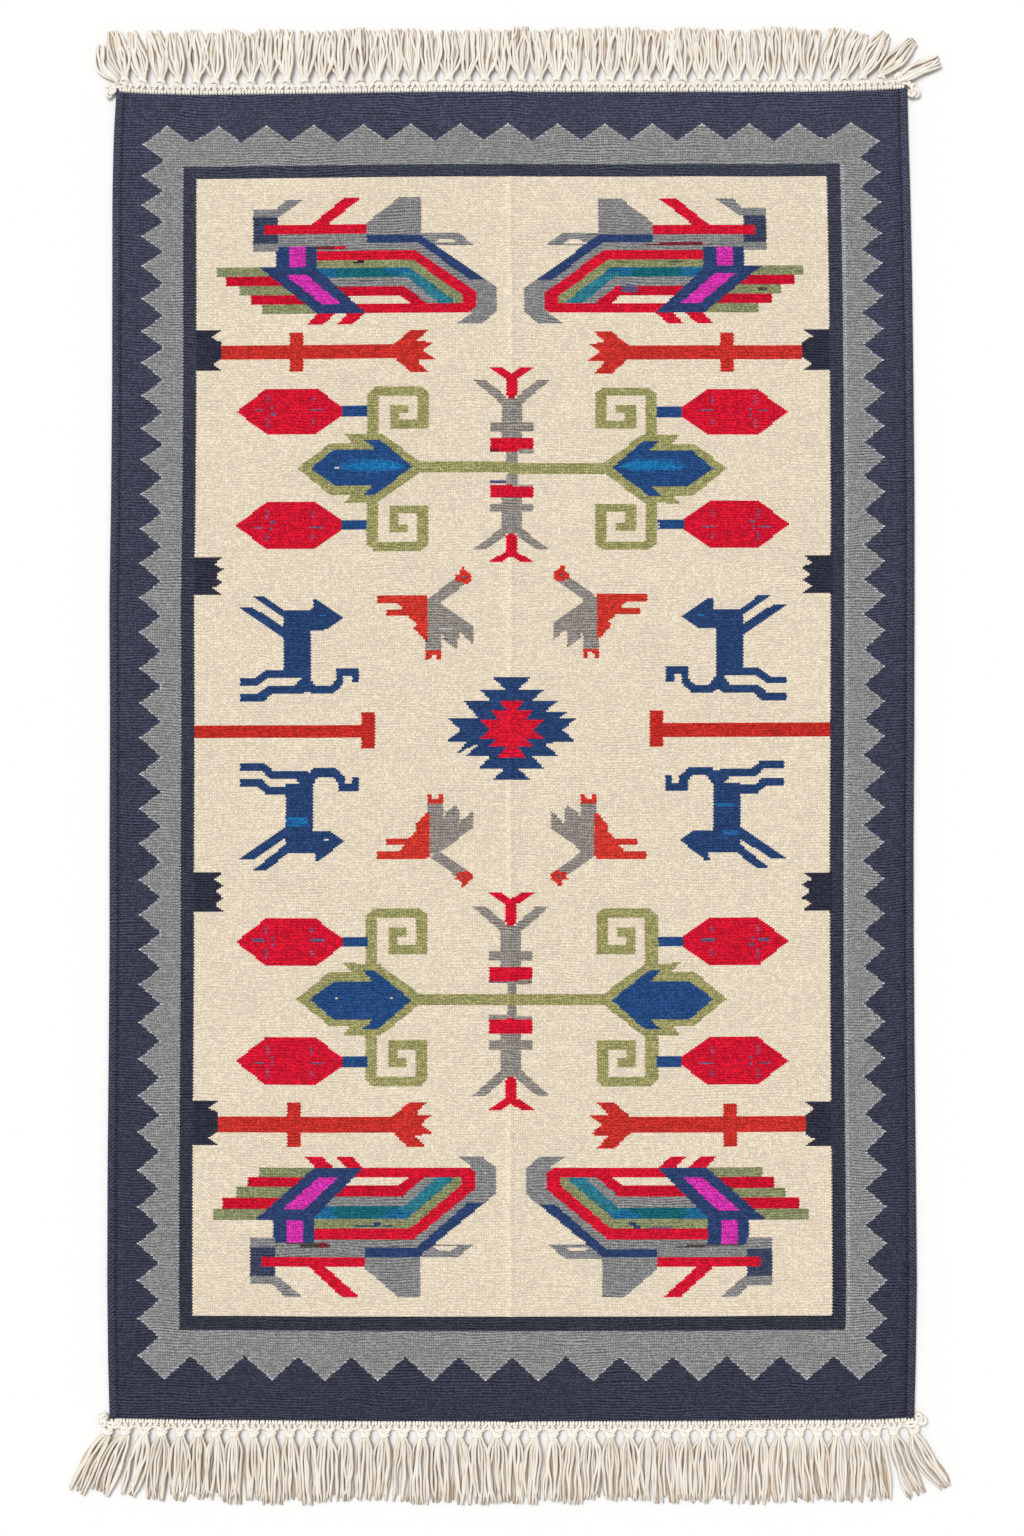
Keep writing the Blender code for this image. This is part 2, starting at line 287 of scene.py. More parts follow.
LEAF_SHINE = (
    ("leaf_mid", ((-78, 0), (-72, 5), (-56, 6), (-46.5, 0), (-52, -2.4), (-60, -3.4), (-70, -2.6))),
    ("leaf_cyan", ((-75, 0), (-70, 2.2), (-60, 4.0), (-52, 3.2), (-46.5, 0), (-52, -1.6),
                   (-60, -2.0), (-70, -1.0))),
)

# The upright figure on the middle line: its upper half, and its lower half mirrors it
FIGURE = (
    ("hen_grey", (-4.7, 20, 1, 45), ((-16.8, 56.2), (-11, 56.2), (-2.2, 46), (-2.2, 38), (-4.7, 41.5))),
    ("crimson", ((-10.2, 64.5), (-4, 64.5), (0.6, 60.4), (0.6, 45), (-1.2, 45), (-2.4, 47),
                 (-2.4, 57.5))),
    ("hen_grey", (-9.7, 24, -4, 29.6), (-2.2, 3.3, 1, 12)),
    ("crimson", (-9.7, 11, 1, 20)),
)

NOTCHED_BLOCK = (
    ("block_navy", ((-140, 12), (-127.3, 12), (-131, 7.5), (-126.8, 4.2), (-130.6, 0), (-127, -4),
                    (-131.3, -7.4), (-127.5, -11.5), (-140, -11.5))),
)

FAR_CAT = (
    ("cat_blue", (-100.2, 46.6, -88.3, 89.2),
     ((-88.4, 89), (-87.4, 90), (-87.4, 96), (-85.5, 96), (-73.8, 84.2), (-80.8, 77), (-88.4, 76.5)),
     ((-113.2, 98), (-107.6, 98), (-99.3, 89.2), (-100.5, 85)),
     ((-119.9, 91.8), (-113.7, 91.8), (-100.2, 79.4), (-100.2, 72.5)),
     ((-119.3, 46.3), (-112.3, 46.3), (-107.9, 51.6), (-100.2, 51.6), (-88.4, 46.6),
      (-106.5, 46.8), (-111.5, 41.4), (-119.3, 41.4)),
     ((-119.3, 36.3), (-111, 36.3), (-107, 41.2), (-95, 41.2), (-92, 46.8), (-88.4, 46.8),
      (-88.4, 38.5), (-92.1, 36.3), (-105.2, 36.3), (-108.5, 31), (-119.3, 31)),
     ((-88.6, 46.8), (-85.7, 41), (-79.5, 41), (-76.8, 45), (-76.8, 52.5), (-67, 52.5), (-67, 43),
      (-70.4, 43), (-70.4, 47.5), (-73.7, 47.5), (-73.7, 42), (-78, 36.3), (-87.6, 36), (-90, 39))),
    ("leaf_cyan", (-84, 85.4, -80.6, 86.4)),
)

# The near cats' rows run the other way, towards the near end
NEAR_CAT = (
    ("cat_blue", (-99.7, 45.0, -87.7, 89.2),
     ((-88, 75), (-79.4, 75), (-73.2, 81.4), (-74.8, 83), (-84.7, 94.3), (-86.8, 94.3),
      (-85.8, 89.7), (-88, 89.2)),
     ((-119.9, 93.4), (-113, 93.4), (-99.7, 80.3), (-99.7, 72.4)),
     ((-112.9, 99.6), (-107, 99.6), (-98.2, 89.2), (-99.7, 83.8)),
     ((-119.1, 47.2), (-111.4, 47.2), (-107.4, 52), (-99.7, 52), (-90, 46.8), (-106.2, 46.8),
      (-109.6, 42), (-119.1, 42)),
     ((-119.1, 36.8), (-110, 36.8), (-106.2, 41.8), (-95.3, 41.8), (-91.3, 46.8), (-87.7, 46.8),
      (-87.7, 38.5), (-91, 36.7), (-104.8, 36.7), (-108.4, 31.7), (-119.1, 31.7)),
     ((-88, 47), (-87, 45), (-85.3, 41.2), (-84, 40.7), (-78.5, 40.7), (-76.5, 45), (-76.5, 50.2),
      (-66.9, 50.2), (-66.9, 40.7), (-70.1, 40.7), (-70.1, 45.3), (-73, 45.3), (-73, 41.2),
      (-75.4, 38), (-77.3, 35.4), (-87.3, 35.4), (-89.5, 38.6))),
)

HEN = (
    ("hen_red", ((-59, 98.5), (-37.3, 98.5), (-36.5, 96), (-36.5, 70), (-38, 70), (-42.8, 77.5),
                 (-42, 81), (-46, 86), (-55.3, 86), (-55.3, 89.5), (-47, 89.5), (-50, 94),
                 (-59, 94))),
    ("hen_grey", ((-36.3, 97.3), (-24.7, 109.5), (-20, 106), (-31.2, 94)),
     ((-31.2, 94), (-17.3, 79.2), (-17.3, 68), (-21.5, 73.4), (-23, 76), (-24.2, 64.4),
      (-28.8, 68.7), (-30.5, 74), (-30.7, 64), (-37.7, 64), (-37.7, 70), (-36.5, 70), (-36.5, 97))),
    ("hen_red", ((-25, 111.8), (-22.8, 112.3), (-22.2, 116.4), (-21.4, 116.4), (-19.5, 113.9),
                 (-17.6, 111.6), (-17.6, 108.6), (-19.4, 105.7), (-21.5, 106.8), (-24.4, 107.3)),
     ((-37.7, 63.5), (-30.7, 63.5), (-30.7, 57.5), (-32.5, 58), (-33, 61), (-35, 61), (-36, 57.5),
      (-37.7, 57.5))),
    ("slate", (-22, 109.6, -20.4, 110.6)),
)

TEE_BAR = (
    ("madder", (-138.9, -4.4, -65, 4.4), (-65.2, -11.3, -59.2, 12.1)),
)


def even(origin, stretch):
    """The rows of a motif: row 0 lies on this weft, and each row is so many wefts high."""
    return ((-200, origin - 200 * stretch), (200, origin + 200 * stretch))


# Rows of a motif that aren't evenly high: row, weft
NEAR_BIRD_ROWS = (
    (-7, -254.9), (0, -262.0), (12, -274.2), (24, -287.6), (34, -300.0), (40, -306.6),
    (50, -317.8), (56.3, -323.9), (73.4, -343.0),
)
FAR_LOWER_SCROLL_ROWS = (
    (18, 161.6), (25.4, 156.4), (30.8, 151.2), (35.2, 144.4), (40.4, 139.0), (52, 127.0),
)

# Each motif's places: its rows, and how many warps to the right and wefts up the left copy and
# the right copy lie from their mirrored places
PLACES = (
    (BIRD, even(279.7, 1.0), (0.0, -0.2), (-1.6, -0.6)),
    (BIRD, NEAR_BIRD_ROWS, (0.0, 0.0), (-0.8, -0.3)),
    (ARROW_BLOCK, even(254.6, 1.0), (0.6, 1.2), (-0.9, 0.2)),
    (ARROW_BLOCK, even(-235.4, 1.08), (0.8, 1.5), (-0.8, 0.2)),
    (ARROW, even(254.2, 1.0), (0.0, 0.6), (-1.2, -0.4)),
    (ARROW, even(-235.2, 1.08), (0.0, 0.3), (0.0, 0.0)),
    (SCROLL, even(180.0, 1.0), (0.0, 0.0), (-0.5, -0.5)),
    (SCROLL, FAR_LOWER_SCROLL_ROWS, (0.0, 0.0), (-0.5, 0.6)),
    (SCROLL, even(-155.5, 1.09), (0.0, 0.0), (0.0, 0.0)),
    (SCROLL, even(-154.4, -1.098), (0.0, 0.0), (0.0, 0.0)),
    (LEAF, even(180.0, 1.0), (0.0, 0.3), (-0.5, -0.5)),
    (LEAF_SHINE, even(180.6, 1.0), (0.0, 0.0), (-0.5, 0.0)),
    (LEAF, even(-155.8, -1.03), (0.3, -0.4), (-0.3, -0.5)),
    (BUD, even(216.2, 1.0), (0.0, 0.5), (-0.6, -0.8)),
    (BUD, even(144.0, -1.0), (0.0, 0.0), (0.0, 0.0)),
    (BUD, even(-120.1, 1.02), (0.5, 0.0), (0.0, 0.0)),
    (BUD, even(-195.2, -1.02), (0.7, 0.0), (-0.4, 0.0)),
    (FIGURE, even(179.4, 1.0), (-0.5, 0.0), (-0.5, 0.0)),
    (FIGURE, even(179.4, -0.92), (-0.5, 0.0), (-0.5, 0.0)),
    (FIGURE, even(-156.7, 1.043), (-0.2, 0.0), (-0.2, 0.0)),
    (FIGURE, even(-156.7, -1.07), (-0.2, 0.0), (-0.2, 0.0)),
    (NOTCHED_BLOCK, even(112.0, 1.0), (0.7, 0.0), (0.0, 0.0)),
    (NOTCHED_BLOCK, even(-88.6, -1.03), (1.1, 0.4), (-0.1, 0.0)),
    (FAR_CAT, even(0.9, 1.0), (0.0, -0.3), (0.4, 0.2)),
    (NEAR_CAT, even(25.0, -1.0), (0.3, 0.0), (0.1, 0.4)),
    (HEN, even(0.9, 1.0), (0.0, -0.7), (0.3, 0.6)),
    (HEN, even(31.0, -1.0), (0.4, -0.3), (-0.4, 0.0)),
    (TEE_BAR, even(13.0, 1.0), (-0.3, 0.0), (0.4, 0.9)),
)

# Odd ends of yarn woven in here and there, at their own places in the rug
MARKS = (
    ("hen_grey", ((1.5, 190), (3.4, 192), (8.6, 192), (8.6, 189), (4, 189)),
     ((1, -147), (1, -146), (4, -144), (9, -143.4), (9, -146.4), (4, -147)),
     (0, 168, 8.6, 169.4), (-10, -169, -2, -166.4), (1, -169.4, 9, -167.4)),
    ("slate", (-66.5, 299, -60.5, 300.2), (48.4, 292.4, 55, 296), (50, 296, 53.4, 297),
     (60, -299.6, 70, -298.6), (-10.4, 170, -3, 171.6), (-10, -146.4, -2, -145)),
    ("charcoal", (69.4, 310.6, 75, 312), (108.3, 293.4, 112.4, 295), (-97.5, -310.4, -81, -309.4),
     (-92, -311.6, -79, -310.4), (76, -310.6, 101, -309.6), (71, -312, 84, -311)),
    ("maroon", (-86, 320.3, -76, 322.2), (59, 322.2, 70, 323.4), (65, 322.4, 84.4, 324.4),
     (-84, -311.6, -80.4, -309.4), (-10.4, 190, -5.6, 192), (7, -146.4, 9, -145)),
    ("crimson", (-78, 320.3, -73, 322.2)),
    ("black", (-70.4, 310.6, -65.6, 312), (-68, 311, -64.6, 313)),
    ("dark_olive", (46.4, 310.6, 51, 312)),
    ("cat_blue", (-68, -299, -58, -298), (-60, -298, -57.4, -296), (-56, -299, -52.4, -298),
     (51.4, -298, 54, -296.4), (53, -299.6, 56, -298)),
    ("leaf_mid", (-99, -47, -89, -41), (90, -35, 98.4, -34), (92, -53, 99, -50)),
    ("leaf_cyan", (-98, -43, -91, -42), (-96, -45, -90, -44), (-99, -47, -93, -46),
     (89, -34, 97, -33)),
    ("cream", (-11.6, -266, -10.6, -265), (-81.5, -56, -79.8, -55), (-77, -156, -76, -155),
     (-52.8, -156, -51.8, -155), (-77.6, 180, -76.4, 181)),
    ("turned_grey", (-32, 77, -26, 78)),
)

# The medallion in the middle, in tiers: the weft and the left and right end of a tier's upper
# edge, and the same of its lower edge
MEDALLION = {
    "cat_blue": (
        ((46.7, -8.4, 8.1), (39.4, -3.2, 3.0)),
        ((39.4, -14.5, 14.4), (32.3, -9.4, 8.8)),
        ((32.3, -21.4, 20.4), (25.0, -17.0, 14.4)),
        ((25.2, -17.0, 25.2), (21.3, -15.4, 20.6)),
        ((21.3, -28.6, 28.2), (13.6, -22.6, 22.3)),
        ((13.6, -22.6, 22.3), (5.8, -28.9, 28.0)),
        ((5.8, -20.4, 19.4), (4.4, -19.0, 14.6)),
        ((4.4, -14.6, 14.6), (-3.2, -20.4, 20.8)),
        ((-3.2, -9.4, 8.9), (-10.6, -14.4, 14.3)),
        ((-10.6, -3.0, 2.8), (-17.7, -8.3, 8.0)),
    ),
    "medallion_red": (
        ((32.4, -5.9, 4.9), (26.3, -2.2, 2.2)),
        ((26.3, -9.2, 9.0), (20.2, -6.0, 5.9)),
        ((20.2, -14.3, 14.4), (13.6, -9.8, 9.2)),
        ((13.6, -9.8, 9.2), (8.3, -13.9, 14.5)),
        ((8.3, -6.0, 6.0), (3.1, -10.5, 9.0)),
        ((3.1, -1.9, 2.0), (-3.6, -6.5, 6.0)),
    ),
}
MEDALLION_SPUR = ((-20, 6), (-14.6, 6), (-14.6, 4.4), (-16.5, 4), (-22.4, -0.6), (-23.6, -0.6))

# The zigzag border. Its peaks' places are given for some of them, by number, and the others lie
# evenly between.
FAR_PEAK_V, FAR_VALLEY_V = 400.0, 389.2
FAR_PEAK_COLUMNS = ((0, -152.3), (1, -130.0), (13, 127.3), (14, 150.5))
NEAR_PEAK_V, NEAR_VALLEY_V = -395.3, -380.2
NEAR_PEAK_COLUMNS = ((0, -151.4), (13, 151.8))
SIDE_PEAK_ROWS = ((0, -380.5), (10, -148.0), (20, 75.0), (25, 185.2), (31, 309.0), (35, 387.3))
LEFT_PEAK_U, LEFT_VALLEY_U = -162.6, -153.5
RIGHT_PEAK_U, RIGHT_VALLEY_U = 163.0, 154.0
FRAME_OUTSIDE = (-144.6, -363.9, 144.6, 374.4)
FRAME_INSIDE = (-139.2, -354.9, 139.2, 365.8)


def on_middle(place):
    """The middle of the warp or weft that this place lies on, so that a tip is always woven."""
    return math.floor(place) + 0.5


def zigzag(places, peak, valley):
    """One border's corners in order: the way along it, and the way across it."""
    peaks = [float(np.interp(number, *zip(*places))) for number in range(places[-1][0] + 1)]
    made = [(on_middle(peaks[0]), peak)]
    for place, next_place in zip(peaks, peaks[1:]):
        made.append(((place + next_place) / 2, valley))
        made.append((on_middle(next_place), peak))
    return made


def zigzag_outline():
    near = zigzag(NEAR_PEAK_COLUMNS, NEAR_PEAK_V, NEAR_VALLEY_V)
    far = zigzag(FAR_PEAK_COLUMNS, FAR_PEAK_V, FAR_VALLEY_V)
    right = [(u, v) for v, u in zigzag(SIDE_PEAK_ROWS, RIGHT_PEAK_U, RIGHT_VALLEY_U)]
    left = [(u, v) for v, u in zigzag(SIDE_PEAK_ROWS, LEFT_PEAK_U, LEFT_VALLEY_U)]
    return near + right + far[::-1] + left[::-1]


class Chart:
    """The woven picture: one yarn for every warp and weft of the field."""

    def __init__(self):
        self.cells = np.zeros((WEFTS, FIELD_WARPS), dtype=np.int16)
        self.teeth = np.zeros(self.cells.shape, dtype=bool)
        self.v = np.arange(WEFTS) + 0.5 - HALF_WEFTS
        self.u = np.arange(FIELD_WARPS) + 0.5 - HALF_FIELD

    def fill(self, yarn, points):
        """Paints the cells whose middle lies within an outline."""
        low = min(v for u, v in points)
        high = max(v for u, v in points)
        first = max(0, int(math.floor(low + HALF_WEFTS)))
        last = min(WEFTS, int(math.ceil(high + HALF_WEFTS)) + 1)
        v = self.v[first:last, None]
        u = self.u[None, :]
        inside = np.zeros((last - first, FIELD_WARPS), dtype=bool)
        for (u1, v1), (u2, v2) in zip(points, points[1:] + points[:1]):
            if v1 == v2:
                continue
            crosses = (v1 <= v) != (v2 <= v)
            inside ^= crosses & (u < u1 + (v - v1) * (u2 - u1) / (v2 - v1))
        self.cells[first:last][inside] = YARN_NAMES.index(yarn)

    def fill_shapes(self, rows):
        for yarn, *shapes in rows:
            for shape in shapes:
                self.fill(yarn, corners(shape))

    def border(self):
        outline = zigzag_outline()
        self.fill("grey", outline)
        self.tips = [(u, v) for u, v in outline if u <= LEFT_PEAK_U or u >= RIGHT_PEAK_U
                     or v <= NEAR_PEAK_V or v >= FAR_PEAK_V]
        self.fill_shapes((("inner_navy", FRAME_OUTSIDE), ("cream", FRAME_INSIDE)))

    def motifs(self):
        for motif, rows, (left_u, left_v), (right_u, right_v) in PLACES:
            for yarn, *shapes in motif:
                for shape in shapes:
                    placed = [(u, float(np.interp(row, *zip(*rows)))) for u, row in corners(shape)]
                    self.fill(yarn, tuple((left_u + u, left_v + v) for u, v in placed))
                    self.fill(yarn, tuple((right_u - u, right_v + v) for u, v in placed))
        for yarn, tiers in MEDALLION.items():
            for (upper, left, right), (lower, lower_left, lower_right) in tiers:
                self.fill(yarn, ((left, upper), (right, upper), (lower_right, lower),
                                 (lower_left, lower)))
        self.fill("cat_blue", MEDALLION_SPUR)
        self.fill_shapes(MARKS)

    def dovetail(self):
        """Along an upright join, every second weft reaches into its right neighbour."""
        left, right = self.cells[:, :-1], self.cells[:, 1:]
        straight = (left != right) & (np.arange(WEFTS)[:, None] % 2 == 1)
        for step in (-1, 1):
            straight &= (left == np.roll(left, step, axis=0))
            straight &= (right == np.roll(right, step, axis=0))
        self.teeth[:, 1:] = straight
        self.cells[self.teeth] = left[straight]

    def light_stitches(self):
        """The grey yarn shows paler where a weft turns back, and most at the zigzag's tips."""
        grey = self.cells == YARN_NAMES.index("grey")
        at_side = np.zeros(grey.shape, dtype=bool)
        at_side[:, 1:] |= ~grey[:, :-1]
        at_side[:, :-1] |= ~grey[:, 1:]
        turned = at_side & grey & (np.arange(WEFTS)[:, None] % 2 == 1)
        self.cells[turned] = YARN_NAMES.index("turned_grey")
        for u, v in self.tips:
            inward = 1 - 0.5 / math.hypot(u, v)
            column = int(math.floor(u * inward + HALF_FIELD))
            row = int(math.floor(v * inward + HALF_WEFTS))
            self.cells[row, column] = YARN_NAMES.index("tip_grey")


# ---------------------------------------------------------------------------------------------
# The cloth


def table_column(table, places, column):
    return np.interp(places, [row[0] for row in table], [row[column] for row in table])


def cloth_plan(across, along):
    """Where a place of the cloth, from -1 to 1 each way, lies in plan."""
    left = table_column(SIDE_WANDER, along, 1) * MM
    right = table_column(SIDE_WANDER, along, 2) * MM
    far = table_column(END_WANDER, across, 1) * MM
    near = table_column(END_WANDER, across, 2) * MM
    x = across * FIELD_WIDTH / 2 + right * (1 + across) / 2 - left * (1 - across) / 2
    y = along * FIELD_LENGTH / 2 + far * (1 + along) / 2 - near * (1 - along) / 2
    return x, y


def ridge(distance, half_width):
    """A soft ridge: 1 at its crest, 0 from its half width on."""
    share = np.clip(np.abs(distance) / half_width, 0, 1)
    return 0.5 + 0.5 * np.cos(np.pi * share)


def relief(across, along):
    """What the folds and the cloth's low swell add to its thickness."""
    x = across * FIELD_WIDTH / 2
    y = along * FIELD_LENGTH / 2
    waves = [np.sin(rate * way + start)
             for rate, way, start in zip(SWELL_RATES, (x, y), SWELL_STARTS)]
    fold_share = FOLD_MIDDLE_SHARE + (1 - FOLD_MIDDLE_SHARE) * along * along
    lengthwise = table_column(FOLD_SECTION, x / MM, 1) * MM * fold_share
    crosswise = CROSSWISE_FOLD_RISE * ridge(y - CROSSWISE_FOLD_Y, FOLD_HALF_WIDTH)
    return SWELL_RISE * waves[0] * waves[1] + np.maximum(lengthwise, crosswise)


def lines_with_points(count, half, step, extra):
    """Which of the lines between cells carry points of their own."""
    lines = np.zeros(count + 1, dtype=bool)
    middle = int(half)
    lines[middle % step::step] = True
    lines[[0, count]] = True
    for place in extra:
        lines[middle + place] = True
    return lines


def edges_along(points, number, joins):
    """The pairs of neighbouring points on each line that an edge between unlike yarns joins."""
    edges = []
    for line in range(len(points)):
        stops = np.nonzero(points[line])[0]
        for a, b in zip(stops, stops[1:]):
            if joins[line, a]:
                edges.append((int(number[line, a]), int(number[line, b])))
    return edges


class Net:
    """The field's points and the edges between unlike yarns, cut into triangles."""

    def __init__(self, cells, teeth):
        ends = tuple(sign * (int(HALF_WEFTS) - inset) for inset in END_WEFTS for sign in (-1, 1))
        self.cells = cells
        self.drawn_in = np.zeros((WEFTS + 1, FIELD_WARPS + 1), dtype=bool)
        self.drawn_in[:-1, 1:] |= teeth
        self.drawn_in[1:, 1:] |= teeth
        self.warp_lines = lines_with_points(FIELD_WARPS, HALF_FIELD, GRID_WARPS, FOLD_WARPS)
        self.weft_lines = lines_with_points(WEFTS, HALF_WEFTS, GRID_WEFTS, FOLD_WEFTS + ends)
        self.upright = np.ones((WEFTS, FIELD_WARPS + 1), dtype=bool)
        self.upright[:, 1:-1] = cells[:, 1:] != cells[:, :-1]
        self.level = np.ones((WEFTS + 1, FIELD_WARPS), dtype=bool)
        self.level[1:-1] = cells[1:] != cells[:-1]

    def corner_points(self):
        above = np.zeros((WEFTS + 1, FIELD_WARPS + 1), dtype=bool)
        below, left, right = (above.copy() for _ in range(3))
        above[:-1] = self.upright
        below[1:] = self.upright
        right[:, :-1] = self.level
        left[:, 1:] = self.level
        runs_on_upright = above & below & ~left & ~right & ~self.weft_lines[:, None]
        runs_on_level = left & right & ~above & ~below & ~self.warp_lines[None, :]
        points = (above | below | left | right) & ~runs_on_upright & ~runs_on_level
        return points | (self.weft_lines[:, None] & self.warp_lines[None, :])

    def triangles(self):
        """(U and V of each point, corners of each triangle, the yarn of each triangle)."""
        points = self.corner_points()
        number = np.full(points.shape, -1, dtype=int)
        rows, columns = np.nonzero(points)
        number[rows, columns] = np.arange(len(rows))
        edges = (edges_along(points.T, number.T, self.upright.T)
                 + edges_along(points, number, self.level))
        flat = [Vector((c * WARP_MM, r * WEFT_MM)) for r, c in zip(rows, columns)]
        found, _, faces, _, _, _ = delaunay_2d_cdt(flat, edges, [], 0, 1e-4)
        u = np.array([p.x for p in found]) / WARP_MM - HALF_FIELD
        v = np.array([p.y for p in found]) / WEFT_MM - HALF_WEFTS
        faces = np.array(faces)
        c = np.floor(u[faces].mean(axis=1) + HALF_FIELD).astype(int).clip(0, FIELD_WARPS - 1)
        r = np.floor(v[faces].mean(axis=1) + HALF_WEFTS).astype(int).clip(0, WEFTS - 1)
        (u1, v1), (u2, v2), (u3, v3) = ((u[faces[:, k]], v[faces[:, k]]) for k in range(3))
        area = (u2 - u1) * (v3 - v1) - (v2 - v1) * (u3 - u1)
        faces = np.where(area[:, None] < 0, faces[:, ::-1], faces)
        kept = np.abs(area) > 1e-6
        line_u = np.rint(u + HALF_FIELD).astype(int)
        line_v = np.rint(v + HALF_WEFTS).astype(int)
        u = u - TOOTH_SHORT * self.drawn_in[line_v, line_u]
        return u, v, faces[kept], self.cells[r, c][kept]


class Slab:
    """Collects the closed slab of the cloth: places in weave steps, heights, faces and yarns."""

    def __init__(self):
        self.u = []
        self.v = []
        self.z = []
        self.faces = []
        self.yarns = []

    def add_points(self, u, v, z):
        first = len(self.u)
        self.u.extend(u)
        self.v.extend(v)
        self.z.extend(z)
        return list(range(first, len(self.u)))

    def add_faces(self, faces, yarns):
        self.faces.extend(faces)
        self.yarns.extend(yarns)

    def add_rim_face(self, face, turned):
        self.add_faces([face[::-1] if turned else face], [YARN_NAMES.index("outer_navy")])


def field_height(u, v):
    at_end = np.abs(v) >= HALF_WEFTS - 0.01
    base = np.where(at_end, CLOTH_EDGE_HEIGHT, CLOTH_THICKNESS)
    return base + relief(u / HALF_WARPS, v / HALF_WEFTS)


def cloth_slab(chart):
    slab = Slab()
    u, v, triangles, yarns = Net(chart.cells, chart.teeth).triangles()
    top = slab.add_points(u, v, field_height(u, v))
    floor = slab.add_points(u, v, np.zeros(len(u)))
    slab.add_faces([tuple(face) for face in triangles], yarns)
    slab.add_faces([tuple(face[::-1] + len(u)) for face in triangles], yarns)
    for side in (-1, 1):
        close_field_end(slab, side, u, v, top, floor)
    for hand in (-1, 1):
        add_selvedge(slab, hand, u, v, top, floor)
    return slab


def close_field_end(slab, side, u, v, top, floor):
    rim = np.nonzero(np.abs(v - side * HALF_WEFTS) < 1e-3)[0]
    rim = rim[np.argsort(u[rim])]
    for a, b in zip(rim, rim[1:]):
        slab.add_rim_face((floor[a], floor[b], top[b], top[a]), side > 0)


def add_selvedge(slab, hand, u, v, top, floor):
    """The thick wrapped outer warps of one side, joined to the field's edge."""
    rim = np.nonzero(np.abs(u - hand * HALF_FIELD) < 1e-3)[0]
    rim = rim[np.argsort(v[rim])]
    along = v[rim]
    above = [top[k] for k in rim]
    below = [floor[k] for k in rim]
    at_end = np.abs(along) >= HALF_WEFTS - 0.01
    for distance, height in SELVEDGE_SECTION:
        places = np.full(len(rim), hand * (HALF_WARPS - distance / WARP_MM))
        heights = height * MM * np.where(at_end, SELVEDGE_END_SHARE, 1.0)
        heights += relief(places / HALF_WARPS, along / HALF_WEFTS)
        new_above = slab.add_points(places, along, heights)
        new_below = slab.add_points(places, along, np.zeros(len(rim)))
        join_strips(slab, above, new_above, hand)
        join_strips(slab, new_below, below, hand)
        for k, side in ((0, -1), (-1, 1)):
            slab.add_rim_face((below[k], new_below[k], new_above[k], above[k]), side * hand > 0)
        above, below = new_above, new_below
    join_strips(slab, above, below, hand)


def join_strips(slab, first, second, hand):
    for face in zip(first, second, second[1:], first[1:]):
        slab.add_rim_face(face, hand < 0)


MAP_HALF = 0.49  # half the width of the cloth in its map
MAP_RIM_SPREAD = 1.006


def linear(value):
    """A channel of an sRGB colour, 0 to 255, as linear light, 0 to 1."""
    share = value / 255
    return share / 12.92 if share <= 0.04045 else ((share + 0.055) / 1.055) ** 2.4


def put_layer(layers, name, values, kind=None):
    """Adds a UV map, or a colour layer of this kind, with a value for each face's corner."""
    if kind:
        layers.new(name, kind, "CORNER").data.foreach_set("color", values.ravel())
    else:
        layers.new(name=name).data.foreach_set("uv", values.ravel())


def add_object(name, data):
    obj = bpy.data.objects.new(name, data)
    bpy.context.scene.collection.objects.link(obj)
    return obj


def place_in_scene(name, mesh, material):
    mesh.materials.append(material)
    mesh.polygons.foreach_set("use_smooth", np.ones(len(mesh.polygons), dtype=bool))
    mesh.validate()
    mesh.update()
    return add_object(name, mesh)


def build_cloth(material):
    chart = Chart()
    chart.border()
    chart.motifs()
    chart.dovetail()
    chart.light_stitches()
    slab = cloth_slab(chart)
    u = np.array(slab.u)
    v = np.array(slab.v)
    x, y = cloth_plan(u / HALF_WARPS, v / HALF_WEFTS)
    mesh = bpy.data.meshes.new("woven_rug")
    mesh.from_pydata(np.column_stack((x, y, slab.z)).tolist(), [], slab.faces)
    palette = np.array([[linear(value) for value in colour] + [1.0] for colour in YARNS.values()])
    yarns = np.repeat(np.array(slab.yarns), [len(face) for face in slab.faces])
    points = np.empty(len(mesh.loops), dtype=np.int32)
    mesh.loops.foreach_get("vertex_index", points)
    shades = palette[yarns]
    navy = np.isin(yarns, [YARN_NAMES.index("outer_navy"), YARN_NAMES.index("inner_navy")])
    fade = 1 + NAVY_FADE * v[points] / HALF_WEFTS
    shades[navy, :3] *= fade[navy, None]
    put_layer(mesh.color_attributes, "weft_colour", shades, "FLOAT_COLOR")
    put_layer(mesh.uv_layers, "WeaveSteps", np.column_stack((u, v))[points])
    # The underside's rim spreads outwards a little, so that the edge faces have room in the map
    at_rim = (np.abs(u) > HALF_WARPS - 0.01) | (np.abs(v) > HALF_WEFTS - 0.01)
    spread = MAP_HALF * np.where(at_rim & (np.array(slab.z) == 0), MAP_RIM_SPREAD, 1.0)
    flat = np.column_stack((0.5 + spread * u / HALF_WARPS, 0.5 + spread * v / HALF_WEFTS))
    put_layer(mesh.uv_layers, "OFBake", flat[points])
    mesh.uv_layers.active = mesh.uv_layers["OFBake"]
    return place_in_scene("woven_rug", mesh, material)


# ---------------------------------------------------------------------------------------------
# The fringe


